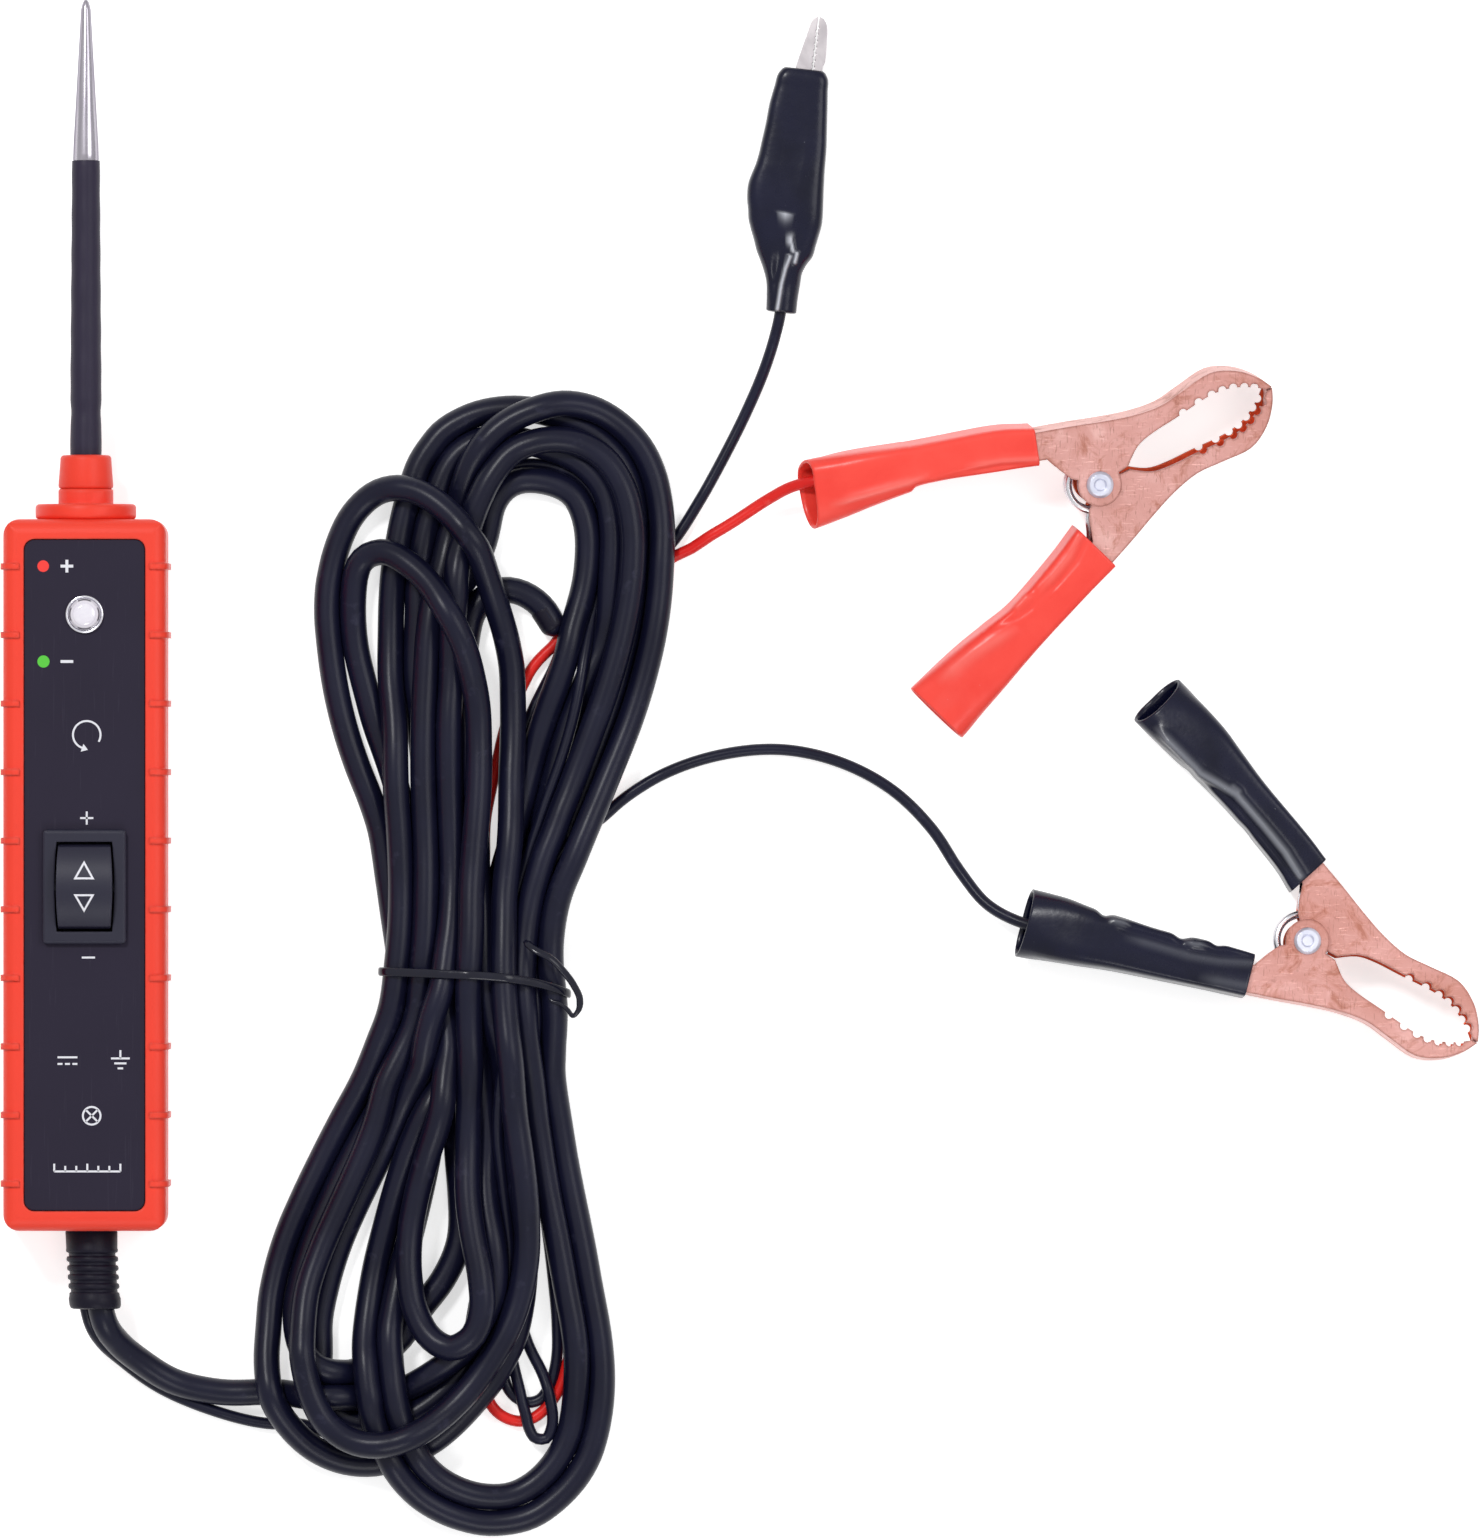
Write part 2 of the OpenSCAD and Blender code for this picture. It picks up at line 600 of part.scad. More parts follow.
// The rod: held in the collar, plain under its sleeve, then a long taper to a point.
module probe_rod() {
    tail = nose_y - strap_y + 0.4;
    point_l = 1.8;
    point_r = 0.6;
    color("silver") turned([[0, nose_y - tail - neck_y], [rod_inner_r(), nose_y - tail - neck_y],
        [rod_inner_r(), sleeve_y - neck_y], [rod_d / 2, sleeve_y - neck_y + 0.4],
        [rod_d / 2 - 0.1, sleeve_y - neck_y + 3], [point_r, tip_y - neck_y - point_l],
        [0, tip_y - neck_y]], neck_y);
}

// The sleeve: it widens towards its foot and has a slight waist near the collar.
module probe_sleeve() {
    bore = rod_inner_r() + run_gap / 2;
    top_r = bore + sleeve_t;
    foot_r = top_r + 0.3;
    color([0.16, 0.16, 0.18]) turned([[bore, 0], [foot_r, 0], [foot_r, 5.6], [foot_r - 0.2, 6.6],
        [foot_r - 0.2, 9], [foot_r, 10], [top_r, sleeve_l - 1], [top_r - 0.1, sleeve_l],
        [bore, sleeve_l]], collar_y);
}

// The strain relief: a plain root, ribs with grooves between them, and an end cap.
module strain_relief() {
    r = relief_d / 2;
    root_l = 3.7;
    groove = 1;
    ribs_end = root_l + relief_ribs * rib_pitch;
    color([0.12, 0.12, 0.14]) translate([relief_x, tail_y, axis_z]) rotate([90, 0, 0])
        rotate_extrude() polygon(concat([[0, -wall - inner_flange_t],
            [inner_flange_r, -wall - inner_flange_t], [inner_flange_r, -wall - 0.05],
            [end_hole_r - 0.1, -wall - 0.05], [end_hole_r - 0.1, 0], [r, 0.05]],
            [for (i = [0:relief_ribs - 1]) let (y = root_l + i * rib_pitch)
                each [[r - 0.1 * i / relief_ribs, y], [r - groove, y + 0.2 * rib_pitch],
                [r - groove, y + 0.6 * rib_pitch], [r - 0.15, y + 0.8 * rib_pitch]]],
            [[r - 0.2, ribs_end], [r, ribs_end + 0.6], [r - 0.1, relief_l - 0.6],
            [r - 0.7, relief_l], [0, relief_l]]));
}

module case_screws() {
    color("silver") at_screws() translate([0, 0, screw_sink]) difference() {
        union() {
            cylinder(r = screw_head_r, h = screw_head_h);
            cylinder(r = screw_r, h = screw_head_h + screw_reach);
        }
        for (a = [0, 90]) rotate([0, 0, a]) cube([2.4, 0.6, 1.6], center = true);
    }
}

// The leads inside, from the strain relief to the breaker, the switch and the board.
module inner_leads() {
    start_y = tail_y + wall + inner_flange_t;
    low_z = wall + lead_d / 2 + 0.2;
    terminal_z = panel_z - body_depth - 0.7 * blade_l;
    blade_y = switch_y - body_l / 3;
    board_end = board_y - board_l / 2;
    color("firebrick") cord([[relief_x, start_y, axis_z],
        [relief_x + lead_d, start_y + 0.4 * lead_turn, axis_z],
        [lead_side, start_y + lead_turn, axis_z - 2 * lead_d],
        [lead_side, start_y + 2.5 * lead_turn, axis_z - 2.4 * lead_d],
        [0.55 * lead_side, blade_y - 0.65 * lead_turn, terminal_z],
        [0.2 * lead_side, blade_y - 0.4, terminal_z]],
        lead_d, 8);
    color([0.1, 0.1, 0.12]) cord([[relief_x - 1.15 * lead_d, start_y, axis_z],
        [relief_x - 1.9 * lead_d, start_y + 0.4 * lead_turn, axis_z],
        [-lead_side, start_y + lead_turn, low_z + lead_d / 2],
        [-lead_side, switch_y, low_z + lead_d / 2],
        [-0.53 * lead_side, board_end - lead_turn / 2, low_z + lead_d / 2],
        [-0.32 * lead_side, board_end + 2, board_z - 0.8]],
        lead_d, 8);
}

// The flat form of a jaw's side plates: its back, its scalloped bite edge, its ear and handle.
module jaw_plate(dir) {
    end_out = handle_root + handle_out * handle_depth / 2 + dir * handle_l;
    end_in = handle_root - handle_out * handle_depth / 2 + dir * handle_l;
    difference() {
        union() {
            polygon(concat([end_out], back_curve, bite_curve, [[0, 0]], throat, [end_in]));
            circle(r = ear_r);
        }
        for (i = [0:scallops - 1])
            translate(bite_curve[bite_first + i * scallop_step]) circle(r = scallop_r, $fn = 16);
        circle(r = rivet_d / 2 + run_gap);
    }
}

// A jaw folded from sheet: two side plates, w over both, joined along the back.
module folded_jaw(w, angle = handle_angle) {
    dir = [cos(angle), sin(angle)];
    end_out = handle_root + handle_out * handle_depth / 2 + dir * handle_l;
    back = concat([end_out], back_curve);
    for (z = [-w / 2, w / 2 - sheet_t])
        translate([0, 0, z]) linear_extrude(sheet_t) jaw_plate(dir);
    linear_extrude(w, center = true)
        polygon(concat(back, [for (q = reversed(beside(back, sheet_t))) [q[0], max(q[1], bite_gap)]]));
}

module wire_jaw(angle = handle_angle) {
    color([0.78, 0.55, 0.47]) folded_jaw(clip_w, angle);
}

module lever_jaw() {
    color([0.75, 0.52, 0.44]) mirror([0, 1, 0]) folded_jaw(lever_w);
}

module rivet() {
    head_h = 0.9;
    color("gainsboro") {
        cylinder(r = rivet_d / 2, h = clip_w + 0.02, center = true);
        for (side = [0, 180]) rotate([side, 0, 0]) translate([0, 0, clip_w / 2 + 0.01])
            rotate_extrude() polygon([[0, 0], [rivet_head_d / 2, 0], [rivet_head_d / 2, 0.4],
                [rivet_head_d / 2 - 0.5, head_h], [1.2, head_h], [0.9, 0.5], [0, 0.5]]);
    }
}

// The clip spring: turns round the rivet between the side plates, and a leg to each handle.
module clip_spring() {
    turns = 3;
    step = 12;
    n = turns * step + step / 2;
    rise = spring_wire * 1.12;
    first = 215;
    centre = [-0.9, 0, 0];
    leg_r = 9.6;
    low = -rise * n / step / 2;
    coil = [for (i = [0:n]) let (a = first + 360 * i / step)
        centre + [spring_r * cos(a), spring_r * sin(a), low + rise * i / step]];
    leg = handle_root + handle_dir * 3 + handle_out * 0.4;
    color("silver") cord(concat([[leg[0], -leg[1], low + 0.2]], coil, [[leg[0], leg[1], -low - 0.2]]),
        spring_wire, 8);
}

// One ring of a grip: a box with round corners near the handle, an oval at the mouth.
function grip_ring(s, room, high, power, side, angle) =
    let (dir = [cos(angle), sin(angle)], out = [dir[1], -dir[0]], deep = (room[0] + room[1]) / 2,
        c = handle_root + dir * s + out * (room[0] - room[1]) / 2)
    [for (k = [0:grip_sides - 1]) let (x = cos(360 * k / grip_sides), y = sin(360 * k / grip_sides),
        u = deep * sign(x) * pow(abs(x), 2 / power), v = high * sign(y) * pow(abs(y), 2 / power))
        [c[0] + out[0] * u, side * (c[1] + out[1] * u), v]];

// The rings of one wall of a grip: grow is how far it stands out from the bore.
function grip_wall(room, w, side, start, angle, grow) = [for (i = [0:len(grip_rings) - 1])
    grip_ring(start + grip_rings[i] * grip_l, [for (r = room[i]) handle_depth / 2 + r + grow],
        w / 2 + grip_lift[i] * w / clip_w + grow, grip_square - grip_rings[i] * (grip_square - grip_round),
        side, angle)];

module grip(room, w, side, start = grip_start, angle = handle_angle) {
    rings = concat(grip_wall(room, w, side, start, angle, grip_t),
        reversed(grip_wall(room, w, side, start, angle, 0)));
    skin(side > 0 ? rings : [for (ring = rings) reversed(ring)], true);
}

module place(at, turn) {
    translate(at) rotate(turn) children();
}

module red_wire_jaw() {
    place(red_at, red_turn) wire_jaw(red_wire_angle);
}

module red_lever_jaw() {
    place(red_at, red_turn) lever_jaw();
}

module red_rivet() {
    place(red_at, red_turn) rivet();
}

module red_spring() {
    place(red_at, red_turn) clip_spring();
}

module red_wire_grip() {
    color("tomato") place(red_at, red_turn)
        grip(red_wire_room, clip_w, 1, red_wire_start, red_wire_angle);
}

module red_lever_grip() {
    color("tomato") place(red_at, red_turn) grip(red_lever_room, lever_w, -1);
}

module black_wire_jaw() {
    place(black_at, black_turn) wire_jaw();
}

module black_lever_jaw() {
    place(black_at, black_turn) lever_jaw();
}

module black_rivet() {
    place(black_at, black_turn) rivet();
}

module black_spring() {
    place(black_at, black_turn) clip_spring();
}

module black_wire_grip() {
    color([0.12, 0.12, 0.15]) place(black_at, black_turn) grip(black_wire_room, clip_w, 1);
}

module black_lever_grip() {
    color([0.12, 0.12, 0.15]) place(black_at, black_turn) grip(black_lever_room, lever_w, -1);
}

// A folded jaw of the alligator clip: side plates of one outline, joined along its back.
module small_jaw(w, back, edge, teeth_from, side) {
    tooth = 1.2;
    for (z = [-w / 2, w / 2 - gator_t]) translate([0, 0, z]) linear_extrude(gator_t) difference() {
        union() {
            polygon(concat(back, edge));
            circle(r = gator_ear_r);
        }
        for (i = [0:7]) translate([teeth_from - i * tooth, 0]) rotate(45)
            square(0.5, center = true);
        circle(r = gator_pin_r + run_gap);
    }
    inner = [for (q = beside(back, side * gator_t)) [q[0], -side * max(-side * q[1], gator_bite_gap)]];
    linear_extrude(w, center = true) polygon(concat(back, reversed(inner)));
}

module gator_fixed_jaw() {
    back = spline([[gator_reach, -0.15], [gator_reach - 0.3, -0.9], [gator_reach - 1.1, -1.5],
        [gator_reach - 2.4, -1.85], [15.4, -2.05], [12.6, -2.1], [10.6, -1.7], [3, -2], [-5, -2.5],
        [-12, -2.8], [-18, -2], [-gator_tail, -0.9]], 3);
    edge = [[-gator_tail, 0.9], [-18, 0], [-12, -0.8], [-4, -0.8], [0, 0], [5, -0.1],
        [gator_reach - 0.6, -0.1]];
    color("gainsboro") place(gator_at, gator_turn)
        small_jaw(gator_w, back, edge, gator_reach - 2, 1);
}

module gator_lever_jaw() {
    back = spline([[gator_reach, 0.15], [gator_reach - 0.3, 0.75], [gator_reach - 1.2, 1.3],
        [16.6, 1.9], [14, 2.5], [11, 3.1], [5, 4], [0, 4.5], [-5, 5.6], [-9, 6.8], [-12, 7.6]], 3);
    edge = [[-12, 5.8], [-7, 4], [-3, 2.4], [0, 0], [5, 0.1], [gator_reach - 0.6, 0.1]];
    color("gainsboro") place(gator_at, gator_turn)
        small_jaw(gator_inner_w, back, edge, gator_reach - 2.6, -1);
}

module gator_pin() {
    color("silver") place(gator_at, gator_turn) {
        cylinder(r = gator_pin_r, h = gator_w + 0.04, center = true);
        for (side = [0, 180]) rotate([side, 0, 0]) translate([0, 0, gator_w / 2 + 0.02])
            cylinder(r1 = gator_pin_r + 0.5, r2 = gator_pin_r + 0.2, h = 0.4);
    }
}

module gator_spring() {
    wire = 0.6;
    r = 1.4;
    step = 10;
    n = 3 * step - 3;
    rise = wire * 1.15;
    low = -rise * n / step / 2;
    coil = [for (i = [0:n]) let (a = 250 + 360 * i / step)
        [r * cos(a) - 0.2, r * sin(a), low + rise * i / step]];
    color("silver") place(gator_at, gator_turn)
        cord(concat([[-7, -1.6, low]], coil, [[-7, 4.6, -low]]), wire, 8);
}

// One oval ring of the boot: g is how far it stands in from the outside.
function boot_ring(q, g) = let (t = min(1, max(0, -q[0]) / -gator_boot_rings[boot_neck_ring + 1][0]),
        power = boot_square + (boot_round - boot_square) * t * t)
    [for (k = [0:grip_sides - 1]) let (c = cos(360 * k / grip_sides), d = sin(360 * k / grip_sides))
        [q[0], q[1] + (q[2] - g) * sign(c) * pow(abs(c), 2 / power),
        (q[3] - g) * sign(d) * pow(abs(d), 2 / power)]];

// The boot: an oval sleeve that bulges over the lever and narrows to the lead.
module gator_boot() {
    tail_in = lead_d / 2 + fit_gap;
    q = gator_boot_rings;
    outer = [for (ring = q) boot_ring(ring, 0)];
    inner = concat(
        [for (i = [len(q) - 1:-1:boot_neck_ring + 1])
            boot_ring([q[i][0], q[i][1], tail_in, tail_in], 0)],
        [for (i = [boot_neck_ring:-1:0]) boot_ring(q[i], boot_t)]);
    color([0.12, 0.12, 0.15]) place(gator_at, gator_turn)
        skin(concat(outer, inner), true);
}

module main_cable() {
    color([0.12, 0.12, 0.15]) cord(spline(main_route, 2), main_d, 10);
}

module ground_tail() {
    color([0.12, 0.12, 0.15]) cord(spline(ground_tail_route, 2), lead_d, 8);
}

// The hank as one solid of its outer form, with a groove where the tie draws it in.
module cable_hank() {
    groove_w = tie_d + 0.4;
    color([0.15, 0.15, 0.18]) difference() {
        linear_extrude(hank_h) polygon(closed_spline(hank_outline, 3));
        translate([0, tie_y + groove_w / 2, 0]) rotate([90, 0, 0]) linear_extrude(groove_w)
            difference() {
                translate([tie_left - 10, -through])
                    square([tie_right - tie_left + 20, hank_h + 2 * through]);
                translate([(tie_left + tie_right) / 2, hank_h / 2])
                    polygon(rounded(tie_right - tie_left - 2 * tie_d - 0.2,
                        hank_h - 2 * tie_d - 0.2, 3));
            }
    }
}

// The twist tie: a band round the waist and a twisted tail.
module cable_tie() {
    w = tie_right - tie_left;
    color([0.2, 0.2, 0.22]) {
        translate([(tie_left + tie_right) / 2, tie_y + tie_d / 2, hank_h / 2]) rotate([90, 0, 0])
            linear_extrude(tie_d) difference() {
                polygon(rounded(w, hank_h, 3 + tie_d));
                polygon(rounded(w - 2 * tie_d, hank_h - 2 * tie_d, 3));
            }
        cord(spline(tie_tail, 2), tie_d, 8);
    }
}

module red_lead() {
    color("red") cord(spline(red_route, 2), lead_d, 8);
}

module black_lead() {
    color([0.12, 0.12, 0.15]) cord(spline(black_route, 2), lead_d, 8);
}

module ground_lead() {
    color([0.12, 0.12, 0.15]) cord(spline(ground_route, 2), lead_d, 8);
}

front_shell();
rear_shell();
front_panel();
switch_body();
switch_rocker();
switch_terminals();
lamp_holder();
lamp();
circuit_board();
probe_contact();
circuit_breaker();
nose_flange();
probe_collar();
probe_rod();
probe_sleeve();
strain_relief();
case_screws();
inner_leads();
red_wire_jaw();
red_lever_jaw();
red_rivet();
red_spring();
red_wire_grip();
red_lever_grip();
black_wire_jaw();
black_lever_jaw();
black_rivet();
black_spring();
black_wire_grip();
black_lever_grip();
gator_fixed_jaw();
gator_lever_jaw();
gator_pin();
gator_spring();
gator_boot();
main_cable();
ground_tail();
cable_hank();
cable_tie();
red_lead();
black_lead();
ground_lead();
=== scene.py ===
"""Looks of an automotive circuit tester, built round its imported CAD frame.

The frame is in metres: X runs across the probe, Y to the probe's tip, Z up from the surface."""

import bpy
import numpy as np
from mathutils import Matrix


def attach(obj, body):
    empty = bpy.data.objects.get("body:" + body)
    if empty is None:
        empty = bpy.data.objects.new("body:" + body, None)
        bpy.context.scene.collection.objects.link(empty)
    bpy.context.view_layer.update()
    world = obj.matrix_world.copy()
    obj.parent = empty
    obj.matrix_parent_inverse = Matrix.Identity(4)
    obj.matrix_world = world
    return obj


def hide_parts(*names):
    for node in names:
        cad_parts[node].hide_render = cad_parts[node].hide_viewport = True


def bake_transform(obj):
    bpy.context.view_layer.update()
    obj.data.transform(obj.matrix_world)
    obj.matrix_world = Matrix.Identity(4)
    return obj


bl_info = {
    "name": "Circuit Tester Looks",
    "version": (1, 0, 0),
    "blender": (4, 5, 0),
    "location": "3D View > Sidebar > Circuit Tester",
    "description": "Builds the cords, grips, lamp, marks and finishes of a circuit tester",
    "category": "Object",
}

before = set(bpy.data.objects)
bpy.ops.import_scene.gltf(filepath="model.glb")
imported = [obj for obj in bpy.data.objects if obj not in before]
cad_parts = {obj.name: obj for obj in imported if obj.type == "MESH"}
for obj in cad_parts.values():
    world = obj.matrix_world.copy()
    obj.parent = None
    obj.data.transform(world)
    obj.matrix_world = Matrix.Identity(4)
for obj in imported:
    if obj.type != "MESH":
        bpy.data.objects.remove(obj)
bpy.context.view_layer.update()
MM = 0.001

# Places in the CAD frame, in millimetres.
AXIS_Z = 11.0
TIP_Y = 119.05
SLEEVE_Y = 89.55
COLLAR_Y = 36.25
NECK_Y = 30.05
NOSE_Y = 24.45
TAIL_Y = -104.75
PANEL_Z = 21.55
LAMP_Y = 7.15
SWITCH_Y = -42.25
HINGE_Z = 20.75
TIE_Y = -60.0

# Each clip's place, its turns about X, Y and Z, and which way is up in its own frame.
CLIPS = {
    "red": ((183.8, 31.3, 7.1), (7.5, 2, 29.4), 1),
    "black": ((221.9, -52.4, 6.5), (177, 0, -30.8), -1),
}
GATOR_AT, GATOR_TURN = (130.9, 95.6, 4.6), (0, 0, 83.4)

# Routes of the cords outside the hank, in millimetres. They follow those of the part's source,
# and leave them by a few millimetres next to the strain relief and where they meet the hank.
MAIN_START = (
    (2.7, -119, 11), (3.4, -121.6, 10.6), (5.6, -125, 8), (10, -128.8, 4.8),
    (15.6, -132.3, 2.8), (24, -134.3, 2.4), (33, -134.5, 2.6),
)
GROUND_START = (
    (-0.1, -119, 9.2), (0.6, -121.8, 8.4), (2.4, -125, 6), (6.5, -128.8, 2.8),
    (12, -132.9, 1.2), (22, -137.4, 1.2), (34, -140.2, 1.2),
)
RED_END = (
    (104, 16.6, 2.6), (109.8, 19.5, 3), (117.1, 23.7, 3.9), (124.4, 28.4, 5.6), (128, 30.3, 8),
    (132, 31.4, 10), (138, 32.3, 10.6), (147, 33.8, 10.8), (155.2, 35.4, 10.8),
)
BLACK_END = (
    (93, -30, 4), (98, -26, 3), (105, -21.8, 1.4), (115, -18.4, 1.2), (127, -17.4, 1.2),
    (138, -20, 1.2), (147, -25, 1.2), (154, -32, 1.4), (159, -39.6, 2.6), (164, -45.6, 4.8),
    (170, -48.8, 6.8), (176, -50.2, 7.4), (184, -51.8, 7.4), (193, -55, 7.2),
)
GROUND_END = (
    (102.6, 15, 3.2), (106.4, 19.6, 2.6), (111.6, 28, 1.4), (116, 36, 1.2), (120, 44, 1.2),
    (123.4, 52, 2.4), (125.2, 57.6, 4), (126.2, 61.9, 4.6), (126.7, 67.4, 4.6),
    (128.4, 74.2, 4.6),
)

